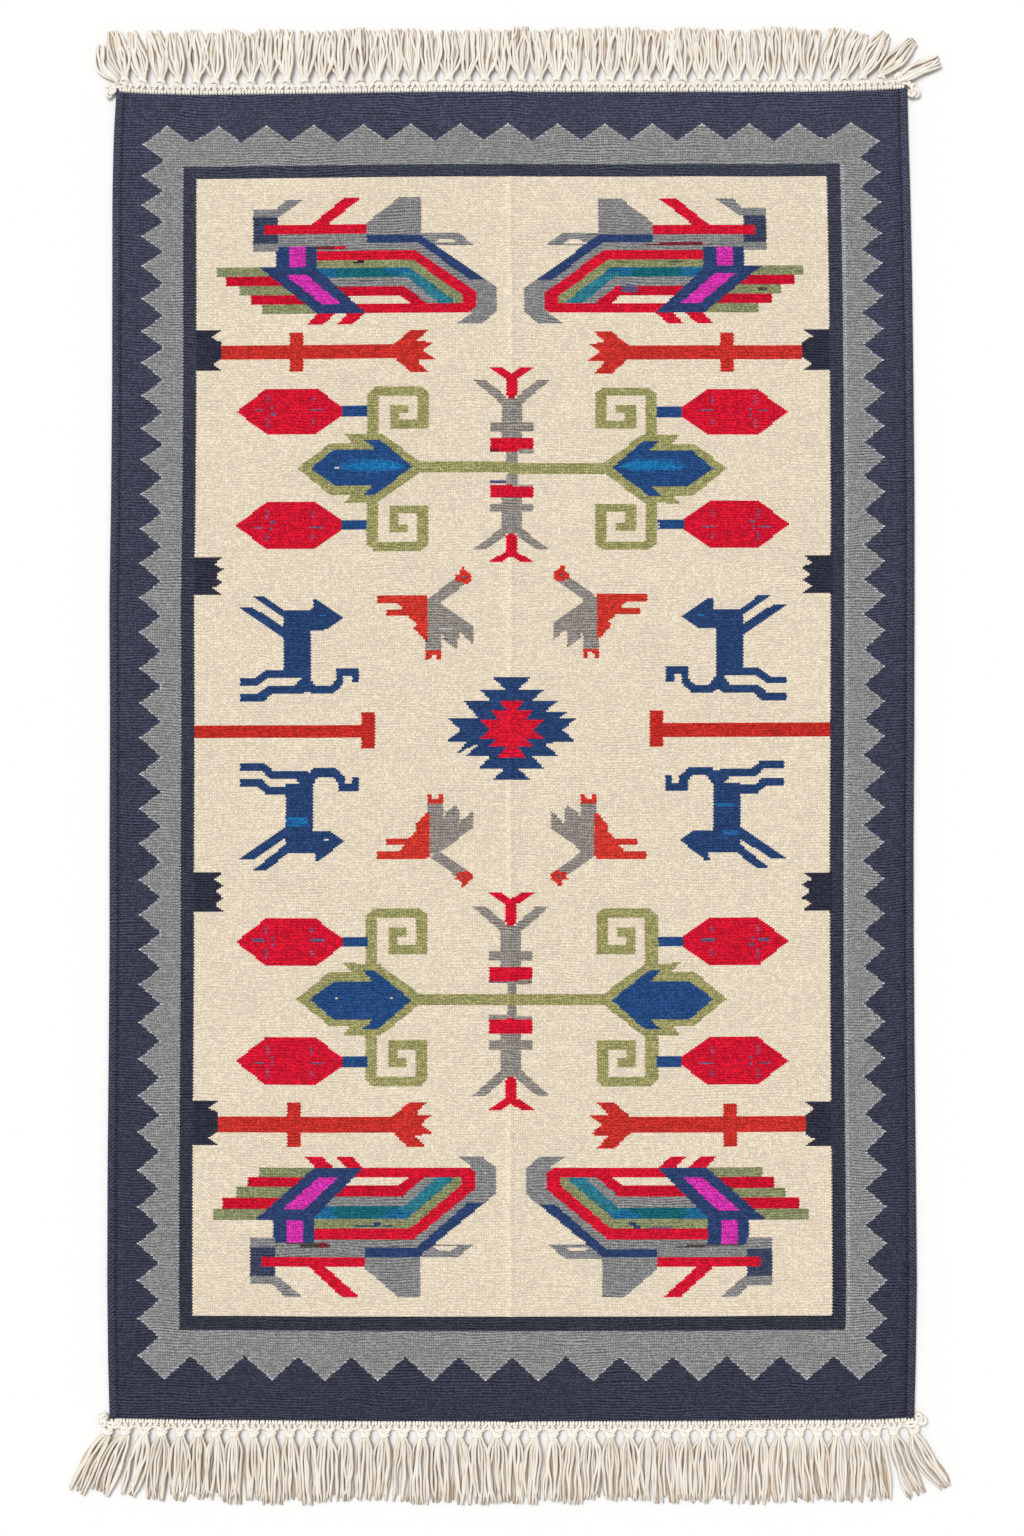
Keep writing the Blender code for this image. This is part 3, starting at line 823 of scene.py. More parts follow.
class Yarns:
    """Collects round yarns as one mesh, with the way along and around each in a UV map."""

    def __init__(self):
        self.points = []
        self.faces = []
        self.map = []
        self.tones = []

    def tube(self, path, radii, sides, start=0.0, tone=0.95):
        """A yarn along a path, with a radius at each point, closed at both ends."""
        path = [Vector(p) for p in path]
        ahead = [(b - a).normalized() for a, b in zip(path, path[1:])]
        ahead = [ahead[0]] + [(a + b).normalized() for a, b in zip(ahead, ahead[1:])] + [ahead[-1]]
        upright = Vector((1, 0, 0) if abs(ahead[0].z) > 0.9 else (0, 0, 1))
        side = ahead[0].cross(upright).normalized()
        first = len(self.points)
        travelled = start
        rings = []
        for k, (centre, forward, radius) in enumerate(zip(path, ahead, radii)):
            if k:
                travelled += (centre - path[k - 1]).length
            side = (side - forward * side.dot(forward)).normalized()
            up = side.cross(forward)
            for n in range(sides):
                angle = math.tau * n / sides
                offset = side * math.cos(angle) + up * math.sin(angle)
                self.points.append(centre + offset * radius)
            rings.append(travelled / MM)
        for k in range(len(path) - 1):
            for n in range(sides):
                m = (n + 1) % sides
                a = first + k * sides
                b = a + sides
                self.faces.append((a + n, a + m, b + m, b + n))
                low, high = n / sides, (n + 1) / sides
                self.map.extend(((low, rings[k]), (high, rings[k]), (high, rings[k + 1]),
                                 (low, rings[k + 1])))
        last = first + (len(path) - 1) * sides
        self.tones.extend([tone] * (4 * sides * (len(path) - 1) + 6 * sides))
        self.cap(range(first + sides - 1, first - 1, -1), path[0], -ahead[0], radii[0], rings[0])
        self.cap(range(last, last + sides), path[-1], ahead[-1], radii[-1], rings[-1])

    def cap(self, ring, centre, outward, radius, travelled):
        """A low dome over the end of a yarn."""
        crown = len(self.points)
        self.points.append(centre + outward * radius * 0.5)
        for n in range(len(ring)):
            self.faces.append((ring[n], ring[(n + 1) % len(ring)], crown))
            low, high = n / len(ring), (n + 1) / len(ring)
            self.map.extend(((low, travelled), (high, travelled), ((low + high) / 2, travelled + 1)))

    def mesh(self, name, material):
        mesh = bpy.data.meshes.new(name)
        mesh.from_pydata([(x, y, max(z, LEAST_HEIGHT * MM)) for x, y, z in self.points], [],
                         self.faces)
        put_layer(mesh.uv_layers, "YarnTwist", np.array(self.map))
        tones = np.repeat(np.array(self.tones)[:, None], 4, axis=1)
        put_layer(mesh.color_attributes, "yarn_tone", tones, "FLOAT_COLOR")
        return place_in_scene(name, mesh, material)


def smooth_path(points, steps):
    """Points on a smooth curve through these points, this many to each stretch."""
    points = [Vector(p) for p in points]
    ends = [points[0] * 2 - points[1]] + points + [points[-1] * 2 - points[-2]]
    made = []
    for a, b, c, d in zip(ends, ends[1:], ends[2:], ends[3:]):
        for step in range(steps):
            t = step / steps
            made.append(0.5 * (2 * b + (c - a) * t + (2 * a - 5 * b + 4 * c - d) * t * t
                               + (3 * b - a - 3 * c + d) * t ** 3))
    made.append(points[-1])
    return made


def end_point(end, x, outward, height):
    """A point so many mm outward of the cloth's end and high, above the cloth's own place x."""
    half_width = FIELD_WIDTH / 2
    across = max(-1.0, min(1.0, x / half_width))
    edge_x, edge_y = cloth_plan(across, float(end["side"]))
    past = x - across * half_width
    y = float(edge_y) + end["side"] * (PIECE_GAP + outward * MM)
    return Vector((float(edge_x) + past, y, height * MM))


LEAST_HEIGHT = 0.05  # no point of a yarn lies lower than this, in mm

# The heading, in mm. Each tassel gathers six loops at the cloth's edge, which cross in pairs.
LOOPS_PER_TASSEL = 6
LOOPS_REACH = 455.5  # no loop lies further than this from the rug's middle line
LOOP_PATH = (
    # outward, height, radius, distance between neighbours, share of the way to the pair's other side
    (-1.3, 2.2, 1.30, 1.00, 0.0),
    (-0.3, 3.0, 1.70, 1.00, 0.0),
    (1.3, 3.4, 1.92, 1.00, 0.0),
    (3.0, 3.0, 1.55, 1.00, 0.1),
    (4.6, 3.1, 1.60, 1.00, 0.5),
    (6.4, 3.2, 1.65, 0.94, 0.9),
    (8.4, 3.4, 1.60, 0.74, 1.0),
    (10.4, 3.6, 1.45, 0.46, 1.0),
    (12.5, 3.6, 1.35, 0.36, 1.0),
)
LOOP_SIDES = 7
CROSSING_LIFT = 1.0
CROSSING_OUTWARD = 4.8
CROSSING_HALF_LENGTH = 3.4
# Strands that run along the heading from knot to knot: outward between the knots and at a knot,
# height and radius
CORDS = ((4.8, 4.8, 1.35, 1.30), (7.0, 9.6, 2.3, 1.60))
CORD_STEPS = 8
CORD_ENDS = (-0.3, 43.3)
KNOT_CENTRE_OUTWARD = 12.3
KNOT_CENTRE_HEIGHT = 3.7
KNOT_HALF_WIDTH = 4.0
KNOT_HALF_HEIGHT = 1.9
KNOT_YARN_RADIUS = 1.75
KNOT_SIDES = 8
KNOT_TURNS = 2
KNOT_TURN_PITCH = 2.1
KNOT_DIP = 2.4  # how far its turns sag towards the tassel in the middle
KNOT_STEPS = 14

# The tassels, in mm
TOP_YARNS = 8
UNDER_YARNS = 6
UNDER_YARNS_WIDE = 0.9  # their spread as a share of the top yarns'
YARN_RADIUS = 1.7
YARN_SIDES = 7
YARN_STEPS = 15
LINE_STEPS = 24
SPREADS = {
    # share of the length, half width between the outer yarns there
    "top": ((0.0, 3.4), (0.12, 5.9), (0.3, 9.3), (0.5, 10.8), (0.75, 10.8), (1.0, 9.2)),
    "bottom": ((0.0, 3.8), (0.08, 6.2), (0.2, 9.2), (0.4, 10.7), (0.8, 11.6), (1.0, 11.0)),
}
CORNER_TASSEL_YARNS = 5
CORNER_TASSEL_INSET = 0.5
CORNER_TASSEL_ROOT = 11.5
CORNER_TASSEL_LEANS = (-54, -4)
LAST_TASSEL_ROOT = 8.5  # the far right tassel starts nearer to the cloth, and is narrower
LAST_TASSEL_WIDE = 0.8
LAYER_HEIGHTS = (
    # share of the length, middles of the under yarns, of the top yarns' lower and upper row
    (0.0, 2.0, 3.4, 5.0),
    (0.15, 1.5, 3.2, 4.9),
    (0.35, 1.35, 2.9, 4.4),
    (0.7, 1.3, 2.5, 3.8),
    (1.0, 1.3, 1.6, 2.8),
)
# A top yarn in five strays: it lies above the others and drifts across the tassel
STRAY_CHANCE = 0.2
STRAY_LAYER = 1.35


def tassel_x(end, number):
    return float(np.interp(number, *zip(*end["places"]))) * MM


def tassel_leans(end, number):
    """How far a tassel leans to the right, in degrees, at its root and at its tip."""
    from_right = TASSELS - 1 - number
    if number < len(end["left_leans"]):
        return [-lean for lean in end["left_leans"][number]]
    if from_right < len(end["right_leans"]):
        return end["right_leans"][from_right]
    return [sum(size * math.sin(rate * number + start) for size, rate, start in LEAN_WAVES)] * 2


def add_loops(yarns, end, x, chance):
    """The warp loops at the cloth's edge, crossed in pairs and gathered into one knot."""
    pitch = end["loop_pitch"] * MM
    for number in range(LOOPS_PER_TASSEL):
        order = number - (LOOPS_PER_TASSEL - 1) / 2
        partner = 1 if number % 2 == 0 else -1
        over = chance.choice((-1, 1)) if partner > 0 else -over
        jitter = chance.uniform(-0.4, 0.4)
        path = []
        radii = []
        for outward, height, radius, gather, crossed in LOOP_PATH:
            place = x + (order + partner * crossed) * pitch * gather + jitter * gather * MM
            from_crossing = abs(outward - CROSSING_OUTWARD) / CROSSING_HALF_LENGTH
            lift = over * CROSSING_LIFT * max(0.0, 1 - from_crossing)
            path.append(end_point(end, place, outward, height + lift))
            radii.append(radius * MM * (1 + 0.08 * jitter))
        path = smooth_path(path, 2)
        radii = np.interp(np.arange(len(path)), np.arange(0, len(path), 2), radii)
        start = chance.uniform(0, 9) * MM
        if abs(x + order * pitch) < LOOPS_REACH * MM:
            yarns.tube(path, radii, LOOP_SIDES, start=start)


def add_cords(yarns, end):
    """The strands along the heading: one beneath the loops, one in arcs between the knots."""
    for between, at_knot, height, radius in CORDS:
        path = []
        for step in range(CORD_STEPS * TASSELS + 1):
            number = step / CORD_STEPS - 0.5
            x = tassel_x(end, number)
            if not CORD_ENDS[0] < number < CORD_ENDS[1] or abs(x) > LOOPS_REACH * MM:
                continue
            arc = 0.5 + 0.5 * math.cos(math.tau * number)
            outward = between + (at_knot - between) * arc ** 1.5
            wander = 0.25 * math.sin(2.1 * step) + 0.2 * math.sin(0.7 * step)
            path.append(end_point(end, x, outward + wander, height))
        yarns.tube(path, [radius * MM] * len(path), LOOP_SIDES)


def add_knot(yarns, end, x, chance):
    """The yarn wound round the gathered loops."""
    slant = chance.choice((-1, 1)) * chance.uniform(0.5, 1.3)
    lean = chance.uniform(-0.8, 0.8)
    size = end["knot_size"] * chance.uniform(0.95, 1.07)
    path = []
    total = KNOT_TURNS * KNOT_STEPS
    for step in range(total + 1):
        angle = math.tau * step / KNOT_STEPS - math.pi / 2
        sideways = math.cos(angle)
        bulge = 0.9 + 0.16 * math.sin(math.pi * step / total)
        place = x + (lean + KNOT_HALF_WIDTH * size * bulge * sideways) * MM
        outward = KNOT_CENTRE_OUTWARD + (step / total - 0.5) * KNOT_TURN_PITCH * KNOT_TURNS * size
        outward += slant * sideways + KNOT_DIP * (max(0.0, math.sin(angle)) ** 2 - 0.3)
        height = KNOT_CENTRE_HEIGHT + KNOT_HALF_HEIGHT * math.sin(angle)
        path.append(end_point(end, place, outward, height))
    yarns.tube(path, [KNOT_YARN_RADIUS * size * MM] * len(path), KNOT_SIDES)


def bend_at(share):
    """From 0 at a tassel's root to 1 at its tip, rising around its bend."""
    return min(1.0, max(0.0, (share - LOCK_BEND_SHARE + 0.3) / 0.6))


def tassel_line(end, x, root_outward, leans):
    """A tassel's middle line, step by step: each place, and the way beside the line there."""
    start = end_point(end, x, root_outward, 0.0)
    turn = leans[1] - leans[0]
    line = []
    for number in range(YARN_STEPS):
        share = number / (YARN_STEPS - 1)
        place = Vector((start.x, start.y))
        for step in range(int(round(share * LINE_STEPS))):
            bend = bend_at((step + 0.5) / LINE_STEPS)
            bend = bend * bend * (3 - 2 * bend)
            angle = math.radians(leans[0] + turn * bend)
            ahead = Vector((math.sin(angle), end["side"] * math.cos(angle)))
            place = place + ahead * end["tassel_length"] / LINE_STEPS
        angle = math.radians(leans[0] + turn * bend_at(share))
        line.append((place, Vector((math.cos(angle), -end["side"] * math.sin(angle)))))
    return line


def tassel_form(end, chance):
    return {
        "wide": chance.uniform(0.86, 1.12),
        "closes": chance.uniform(-0.15, 0.35),
        "sways": chance.uniform(-2.2, 2.2),
        "reach": end["reach"] * chance.uniform(0.95, 1.03),
        "clumps": chance.uniform(1.6, 3.2),
        "clump_start": chance.uniform(0, math.tau),
        "root": ROOT_OUTWARD,
    }


def add_layer(yarns, end, x, line, form, count, beneath, chance):
    """The yarns of one layer of a tassel, from its left to its right."""
    half = (count - 1) / 2
    for k in range(count):
        order = (k - half) / half
        if beneath:
            order *= UNDER_YARNS_WIDE
        add_tassel_yarn(yarns, end, x, line, form, order, -1 if beneath else k % 2, chance)


def add_tassel(yarns, end, number, chance):
    x = tassel_x(end, number)
    form = tassel_form(end, chance)
    if end["name"] == "top" and number == TASSELS - 1:
        form.update(wide=LAST_TASSEL_WIDE, root=LAST_TASSEL_ROOT)
    line = tassel_line(end, x, form["root"], tassel_leans(end, number))
    add_layer(yarns, end, x, line, form, UNDER_YARNS, True, chance)
    add_layer(yarns, end, x, line, form, TOP_YARNS, False, chance)


def add_corner_tassel(yarns, end, chance):
    """The few yarns that run out of the far left corner's knob."""
    x = -FIELD_WIDTH / 2 + CORNER_TASSEL_INSET * MM
    form = tassel_form(end, chance)
    form.update(wide=0.46, closes=0.1, sways=0.0, reach=0.98, root=CORNER_TASSEL_ROOT)
    line = tassel_line(end, x, CORNER_TASSEL_ROOT, CORNER_TASSEL_LEANS)
    add_layer(yarns, end, x, line, form, CORNER_TASSEL_YARNS, False, chance)


def add_tassel_yarn(yarns, end, x, line, form, order, layer, chance):
    """One yarn of a tassel, in the layer -1 beneath, or from 0 to 1 on top."""
    order += chance.uniform(-0.08, 0.08)
    drift = chance.uniform(-2.2, 2.2)
    if layer >= 0 and chance.random() < STRAY_CHANCE:
        drift = math.copysign(chance.uniform(3.5, 8.0), -order)
        layer = STRAY_LAYER
    waves = [(chance.uniform(0.6, 1.7), chance.uniform(2.5, 5.5), chance.uniform(0, math.tau)),
             (chance.uniform(0.3, 0.8), chance.uniform(8.0, 14.0), chance.uniform(0, math.tau))]
    clump = 0.15 * math.sin(form["clumps"] * math.pi * order + form["clump_start"])
    reach = form["reach"] * (1 - 0.12 * chance.random() ** 2)
    path = [end_point(end, x + order * 2.6 * MM, form["root"] - 4.5, 3.4 + 1.2 * layer)]
    for step in range(YARN_STEPS):
        share = step / (YARN_STEPS - 1)
        middle, beside = tassel_line_at(line, share * reach)
        half = np.interp(share * reach, *zip(*SPREADS[end["name"]])) * form["wide"]
        half *= 1 - form["closes"] * max(0.0, share - 0.45) / 0.55
        aside = (order + clump * min(1, 2.5 * share)) * half
        aside += form["sways"] * math.sin(math.pi * share)
        aside += min(1, 3 * share) * sum(size * math.sin(rate * share + start)
                                         for size, rate, start in waves)
        aside += drift * share ** 1.8
        under, low, high = (table_column(LAYER_HEIGHTS, share, column) for column in (1, 2, 3))
        height = under if layer < 0 else low + (high - low) * layer
        place = middle + beside * aside * MM
        path.append(Vector((place.x, place.y, height * MM)))
    radius = YARN_RADIUS * chance.uniform(0.9, 1.1)
    radii = [radius * MM * (1 - 0.35 * (step / YARN_STEPS) ** 8) * min(1.0, 0.8 + 0.06 * step)
             for step in range(YARN_STEPS + 1)]
    # The yarns beneath get darker tones than the top yarns, as painted shade under them; within a layer
    # the tone differs at random
    tone = chance.uniform(0.0, 0.35) if layer < 0 else chance.uniform(0.55, 1.0)
    tone = max(0.0, tone + end["tone"])
    yarns.tube(path, radii, YARN_SIDES, start=chance.uniform(0, 9) * MM, tone=tone)


def tassel_line_at(line, share):
    """The middle line between two of its points."""
    place = share * (len(line) - 1)
    low = min(int(place), len(line) - 2)
    rest = place - low
    middle, beside = (a * (1 - rest) + b * rest for a, b in zip(line[low], line[low + 1]))
    return middle, beside.normalized()


# The knob at each corner is an overhand knot in the outer warps, in mm: its middle outward of the
# side and of the end, its half width, its half length and its turn in degrees
CORNER_KNOBS = {
    # end: left knob, right knob
    "top": ((6.8, -0.8, 5.8, 7.0, 20), (7.2, -5.0, 6.0, 8.2, 60)),
    "bottom": ((7.2, 0.4, 5.6, 7.0, 200), (6.0, 2.0, 6.4, 8.0, 95)),
}
KNOB_STEPS = 42
KNOB_YARN_RADIUS = 2.1
KNOB_LEADS = (4.2, 8.4)  # how far the strands that lead into it lie outward of the cloth's end
LEAD_THICKNESS = 0.88  # as a share of the knob's yarn


def add_corner(yarns, end, hand):
    """An overhand knot beside the corner, and the two strands that lead into it."""
    out, beyond, wide, tall, turned = CORNER_KNOBS[end["name"]][0 if hand < 0 else 1]
    turned = math.radians(turned)
    corner_x, corner_y = (float(value) for value in cloth_plan(float(hand), float(end["side"])))

    def at(a, b, height):
        return (corner_x + hand * a * MM, corner_y + end["side"] * b * MM, height * MM)

    knot = []
    for step in range(KNOB_STEPS + 1):
        t = math.tau * step / KNOB_STEPS
        a = (math.sin(t) + 2 * math.sin(2 * t)) / 3
        b = (math.cos(t) - 2 * math.cos(2 * t)) / 3
        a, b = (a * math.cos(turned) - b * math.sin(turned),
                a * math.sin(turned) + b * math.cos(turned))
        knot.append(at(out + wide * a, beyond + tall * b, 3.3 - 1.3 * math.sin(3 * t)))
    yarns.tube(knot, [KNOB_YARN_RADIUS * MM] * len(knot), KNOT_SIDES)
    for lead in KNOB_LEADS:
        path = [at(-10.0, lead + 0.6, 3.0), at(-5.0, lead, 3.8), at(-0.5, lead - 0.6, 3.8),
                at(out * 0.6, beyond + (lead - beyond) * 0.5, 3.2), at(out, beyond, 2.6)]
        path = smooth_path(path, 3)
        yarns.tube(path, [KNOB_YARN_RADIUS * LEAD_THICKNESS * MM] * len(path), KNOT_SIDES)


def build_fringe(end, material):
    heading = Yarns()
    tassels = Yarns()
    chance = random.Random(31 + end["side"])
    for number in range(TASSELS):
        x = tassel_x(end, number)
        add_loops(heading, end, x, chance)
        add_knot(heading, end, x, chance)
        add_tassel(tassels, end, number, chance)
    add_cords(heading, end)
    for hand in (-1, 1):
        add_corner(heading, end, hand)
    if end["side"] > 0:
        add_corner_tassel(tassels, end, chance)
    return (heading.mesh("heading_" + end["name"], material),
            tassels.mesh("tassels_" + end["name"], material))


# ---------------------------------------------------------------------------------------------
# Materials


class Nodes:
    """Short ways to add and link shader nodes."""

    def __init__(self, name):
        self.material = bpy.data.materials.new(name)
        self.material.use_nodes = True
        self.tree = self.material.node_tree
        self.shader = self.tree.nodes["Principled BSDF"]

    def add(self, kind, **settings):
        node = self.tree.nodes.new(kind)
        for key, value in settings.items():
            setattr(node, key, value)
        return node

    def feed(self, socket, value):
        if isinstance(value, bpy.types.NodeSocket):
            self.tree.links.new(value, socket)
        else:
            socket.default_value = value

    def made(self, node, *values):
        """The node's first output, with its first inputs fed."""
        for socket, value in zip(node.inputs, values):
            self.feed(socket, value)
        return node.outputs[0]

    def math(self, operation, *values):
        return self.made(self.add("ShaderNodeMath", operation=operation), *values, 0.0, 0.0)

    def times(self, first, second):
        return self.math("MULTIPLY", first, second)

    def layered(self, base, *parts):
        """The base with each part added at its weight."""
        for part, weight in parts:
            base = self.math("MULTIPLY_ADD", part, weight, base)
        return base

    def map_range(self, value, low, high, to_low, to_high):
        return self.made(self.add("ShaderNodeMapRange"), value, low, high, to_low, to_high)

    def near(self, distance, inner, outer, shade):
        """This shade up to the inner distance from a line, and 1 from the outer one on."""
        return self.map_range(self.math("ABSOLUTE", distance), inner, outer, shade, 1.0)

    def place(self, x, y, z=0.0):
        return self.made(self.add("ShaderNodeCombineXYZ"), x, y, z)

    def apart(self, vector):
        """The X, Y and Z of a vector."""
        node = self.add("ShaderNodeSeparateXYZ")
        self.feed(node.inputs[0], vector)
        return node.outputs

    def uv_map(self, name):
        return self.apart(self.add("ShaderNodeUVMap", uv_map=name).outputs[0])[:2]

    def vertex_colour(self, name):
        return self.add("ShaderNodeVertexColor", layer_name=name).outputs[0]

    def noise(self, place, scale=1.0, detail=2.0, roughness=0.5):
        node = self.add("ShaderNodeTexNoise")
        for name, value in (("Vector", place), ("Scale", scale), ("Detail", detail),
                            ("Roughness", roughness)):
            self.feed(node.inputs[name], value)
        return node.outputs[0]

    def patchy(self, u, v, u_scale, v_scale, **settings):
        return self.noise(self.place(self.times(u, u_scale), self.times(v, v_scale)), **settings)

    def scaled(self, colour, factor):
        node = self.add("ShaderNodeVectorMath", operation="SCALE")
        self.feed(node.inputs["Scale"], factor)
        return self.made(node, colour)

    def bump(self, height, distance, strength):
        node = self.add("ShaderNodeBump")
        for name, value in (("Height", height), ("Distance", distance), ("Strength", strength)):
            self.feed(node.inputs[name], value)
        self.feed(self.shader.inputs["Normal"], node.outputs[0])

    def surface(self, colour, roughness, specular, sheen=0.0):
        for name, value in (("Base Color", colour), ("Roughness", roughness),
                            ("Specular IOR Level", specular), ("Sheen Weight", sheen)):
            self.feed(self.shader.inputs[name], value)


# The weave, in warps and wefts
BEAD_SOFTNESS = 0.6
RIB_WEFTS = 1.74
CORD_START = (HALF_FIELD + 0.3, HALF_FIELD + 0.8)
CORD_TURN_BY_WEFT = 0.37
CORD_TURN_BY_WARP = 0.5
# Painted highlight left of the lengthwise fold and painted shade in its crease, in warps from the
# middle
FOLD_HIGHLIGHT_LEFT_OF_MIDDLE = 1.4
CREASE_SHADE_RIGHT_OF_MIDDLE = 0.5


def woven_material():
    n = Nodes("woven_wool")
    u, v = n.uv_map("WeaveSteps")
    # The wefts wander a little
    v_real = n.layered(v, (n.patchy(u, v, 0.035, 0.02, detail=1.0), 5.0))
    # On each warp the wefts show as a row of rounded beads, set half a bead off the next warp's
    warp = n.math("FLOOR", u)
    bead_v = n.layered(v_real, (warp, 0.5))
    across = n.math("ABSOLUTE", n.math("SINE", n.times(u, math.pi)))
    along = n.math("ABSOLUTE", n.math("SINE", n.times(bead_v, math.pi)))
    across = n.map_range(across, 0.0, 1.0, 0.25, 1.0)
    bead = n.math("POWER", n.times(across, along), BEAD_SOFTNESS)
    # The wefts lie in ribs from side to side, where the beater has packed them unevenly
    rib = n.layered(n.math("DIVIDE", v_real, RIB_WEFTS), (n.patchy(u, v, 0.05, 0.12), 1.8))
    packed = n.map_range(n.patchy(u, v, 0.03, 0.03), 0.35, 0.65, 0.4, 1.2)
    rib = n.times(n.math("SINE", n.times(rib, math.tau)), packed)
    # Every bead has its own tone, because the wool is dyed and spun unevenly
    tone = n.made(n.add("ShaderNodeTexWhiteNoise"), n.place(warp, n.math("FLOOR", bead_v)))
    tone = n.map_range(n.math("POWER", tone, 1.8), 0.0, 1.0, -1.1, 2.1)
    # Single wefts are lighter or darker, and lie higher or lower, for part of their way
    streak = n.map_range(n.noise(n.place(n.times(u, 0.09), v_real)), 0.25, 0.75, -2.2, 2.2)
    fuzz = n.patchy(u, v_real, 2.6, 2.2, detail=1.0, roughness=0.6)
    fuzz = n.map_range(fuzz, 0.25, 0.75, -2.2, 2.2)
    # The outer warps of each side are a cord, wrapped obliquely, with a groove beside it. The groove
    # gets painted shade, and the wraps' crests a painted highlight
    from_middle = n.math("ABSOLUTE", u)
    groove_shade = n.near(n.math("SUBTRACT", from_middle, HALF_FIELD), 0.1, 0.9, 0.62)
    wrap = n.layered(n.times(from_middle, CORD_TURN_BY_WARP * math.tau),
                     (v, CORD_TURN_BY_WEFT * math.tau))
    wrap = n.times(n.math("SINE", wrap), n.map_range(from_middle, *CORD_START, 0.0, 1.0))
    # Painted light on the lengthwise fold: a painted highlight on its left side, which faces the key
    # light, and a thin painted shade just right of its crest
    fold_highlight = n.near(n.math("ADD", u, FOLD_HIGHLIGHT_LEFT_OF_MIDDLE), 0.3, 2.2, 1.07)
    crease_shade = n.near(n.math("SUBTRACT", u, CREASE_SHADE_RIGHT_OF_MIDDLE), 0.2, 0.9, 0.94)
    # Colour: the yarn's own, with a pattern that shows less in the cream. The pattern holds tones
    # that differ at random, and painted shade at the beads' edges and in the ribs' hollows
    colour = n.vertex_colour("weft_colour")
    channels = n.add("ShaderNodeSeparateColor")
    n.feed(channels.inputs[0], colour)
    red, green, blue = channels.outputs[:3]
    contrast = n.map_range(green, 0.30, 0.60, 0.49, 0.205)
    # The navy and the grey yarns are spun from light and dark wool, and show the ribs' painted
    # shade most
    mixed = n.map_range(n.math("ABSOLUTE", n.math("SUBTRACT", red, blue)), 0.05, 0.12, 1.0, 0.0)
    extra = n.times(mixed, n.map_range(green, 0.05, 0.25, 0.34, -0.02))
    contrast = n.times(contrast, n.math("ADD", extra, 1.0))
    # Painted shade in the ribs' hollows and at the beads' edges
    ribs = n.times(rib, n.map_range(mixed, 0.0, 1.0, 0.5, 0.95))
    tones = n.times(tone, n.map_range(mixed, 0.0, 1.0, 0.44, 0.36))
    pattern = n.math("ADD", ribs, n.map_range(bead, 0.0, 1.0, -1.15, 0.75))
    pattern = n.layered(n.math("ADD", tones, pattern), (streak, 0.13), (fuzz, 0.9))
    shade = n.math("MAXIMUM", n.layered(1.0, (pattern, contrast)), 0.2)
    slow = n.map_range(n.patchy(u, v, 0.012, 0.05), 0.3, 0.7, 0.98, 1.02)
    for part in (slow, groove_shade, fold_highlight, crease_shade):
        shade = n.times(shade, part)
    # Painted highlight on the crests of the cord's wraps
    wrap_highlight = n.map_range(wrap, 0.45, 1.0, 0.0, 0.05)
    lighter = n.add("ShaderNodeVectorMath", operation="ADD")
    colour = n.made(lighter, n.scaled(colour, shade), n.place(wrap_highlight, wrap_highlight, wrap_highlight))
    n.surface(colour, 0.92, 0.08, sheen=0.04)
    n.bump(n.layered(0.15, (bead, 0.62), (tone, 0.04), (streak, 0.06), (rib, 0.14), (fuzz, 0.05),
                     (wrap, 0.3)), 0.0008, 0.75)
    return n.material


# The cotton's colours: place on the scale of tones, and linear colour
COTTON_TONES = (
    (0.0, (0.55, 0.43, 0.31, 1)), (0.45, (0.86, 0.785, 0.675, 1)), (1.0, (0.98, 0.935, 0.855, 1)),
)
PLIES = 3
TURNS_PER_MM = 0.12


def yarn_material():
    n = Nodes("natural_cotton_yarn")
    around, along = n.uv_map("YarnTwist")
    turn = n.layered(around, (along, TURNS_PER_MM))
    plies = n.math("COSINE", n.times(turn, PLIES * math.tau))
    fibre = n.patchy(turn, along, 9.0, 0.25, detail=3.0)
    height = n.layered(0.5, (plies, 0.22), (fibre, 0.40))
    object_place = n.add("ShaderNodeTexCoord").outputs["Object"]
    patches = n.map_range(n.noise(object_place, scale=55.0), 0.3, 0.7, -0.15, 0.15)
    # Painted shade: the yarns are darker on their sides than on top, by how little they face up
    upward = n.apart(n.add("ShaderNodeTexCoord").outputs["Normal"])[2]
    sideways = n.map_range(upward, 0.1, 0.75, 1.0, 0.0)
    tone = n.math("ADD", n.vertex_colour("yarn_tone"), patches)
    ramp = n.add("ShaderNodeValToRGB")
    ramp.color_ramp.elements.new(0.5)
    for element, (position, colour) in zip(ramp.color_ramp.elements, COTTON_TONES):
        element.position = position
        element.color = colour
    colour = n.made(ramp, n.math("SUBTRACT", tone, sideways))
    # Painted shade in the hollows between the plies: the colour is darker where the height is low
    n.surface(n.scaled(colour, n.map_range(height, 0.1, 1.0, 0.66, 1.10)), 0.88, 0.2, sheen=0.15)
    n.bump(height, 0.0005, 0.8)
    return n.material


# ---------------------------------------------------------------------------------------------
# Floor, light and camera

CAMERA_LENS = 50.0
CAMERA_SENSOR = 36.0
CAMERA_DISTANCE = 2.4314
CAMERA_TILT = 1.443
CAMERA_AIM = (0.0, -0.0187, 0.0)  # from the middle of the cloth
FLOOR_SIZE = 8.0
FLOOR_HEIGHT = -0.0002
FLOOR_COLOUR = (0.925, 0.925, 0.92, 1)
SKY_STRENGTH = 0.52
SUN_STRENGTH = 2.05
SUN_ANGLE = 36.0
SUN_FROM = (-0.42, 0.45, 1.0)


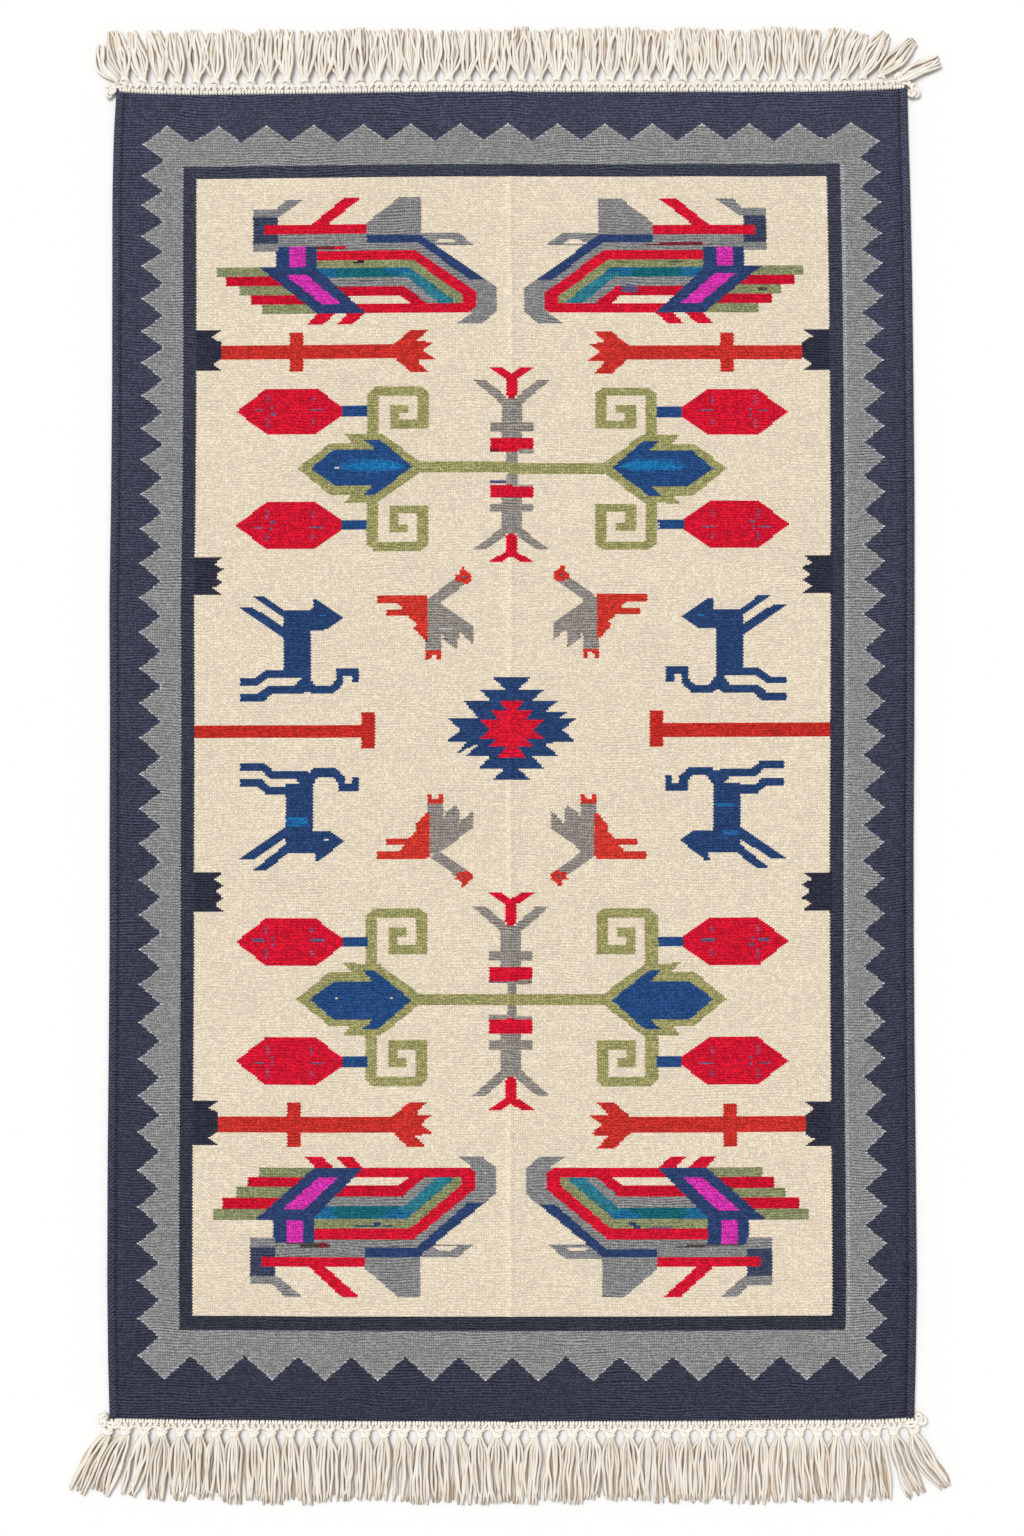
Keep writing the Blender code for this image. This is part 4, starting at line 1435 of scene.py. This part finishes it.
def build_floor():
    half = FLOOR_SIZE / 2
    mesh = bpy.data.meshes.new("floor")
    square = ((-half, -half), (half, -half), (half, half), (-half, half))
    mesh.from_pydata([(x, y, FLOOR_HEIGHT) for x, y in square], [], [(0, 1, 2, 3)])
    n = Nodes("pale_floor")
    n.surface(FLOOR_COLOUR, 0.9, 0.0)
    floor = place_in_scene("floor", mesh, n.material)
    floor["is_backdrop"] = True
    return floor


def build_light():
    world = bpy.data.worlds.new("studio")
    world.use_nodes = True
    background = world.node_tree.nodes["Background"]
    background.inputs["Color"].default_value = (1.0, 1.0, 1.0, 1)
    background.inputs["Strength"].default_value = SKY_STRENGTH
    bpy.context.scene.world = world
    lamp = bpy.data.lights.new("key", "SUN")
    lamp.energy = SUN_STRENGTH
    lamp.angle = math.radians(SUN_ANGLE)
    key = add_object("key", lamp)
    key.rotation_mode = "QUATERNION"
    key.rotation_quaternion = Vector(SUN_FROM).to_track_quat("Z", "Y")
    bpy.context.scene.view_settings.view_transform = "Standard"


def build_camera(cloth_middle):
    data = bpy.data.cameras.new("camera")
    data.lens = CAMERA_LENS
    data.sensor_width = CAMERA_SENSOR
    camera = add_object("camera", data)
    tilt = math.radians(CAMERA_TILT)
    back = Vector((0, -math.sin(tilt), math.cos(tilt)))
    camera.location = cloth_middle + Vector(CAMERA_AIM) + back * CAMERA_DISTANCE
    camera.rotation_euler = (tilt, 0, 0)
    bpy.context.scene.camera = camera


# ---------------------------------------------------------------------------------------------
# The whole rug


def plan_middle(obj):
    low = [min(vertex.co[axis] for vertex in obj.data.vertices) for axis in (0, 1)]
    high = [max(vertex.co[axis] for vertex in obj.data.vertices) for axis in (0, 1)]
    return Vector(((low[0] + high[0]) / 2, (low[1] + high[1]) / 2, 0))


def main():
    wool = woven_material()
    cotton = yarn_material()
    rug = build_cloth(wool)
    fringes = {end["name"]: build_fringe(end, cotton) for end in ENDS}
    low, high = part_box("rug_field")
    shift = (low + high) / 2 - plan_middle(rug)
    shift.z = 0
    floor = build_floor()
    pieces = [rug] + [piece for fringe in fringes.values() for piece in fringe]
    for piece in pieces:
        for vertex in piece.data.vertices:
            vertex.co += shift
        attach(piece, "root")
    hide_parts("rug_field")
    for name, fringe in fringes.items():
        for piece in fringe:
            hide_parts("fringe_" + name)
    build_light()
    build_camera(shift)
    low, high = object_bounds()


main()
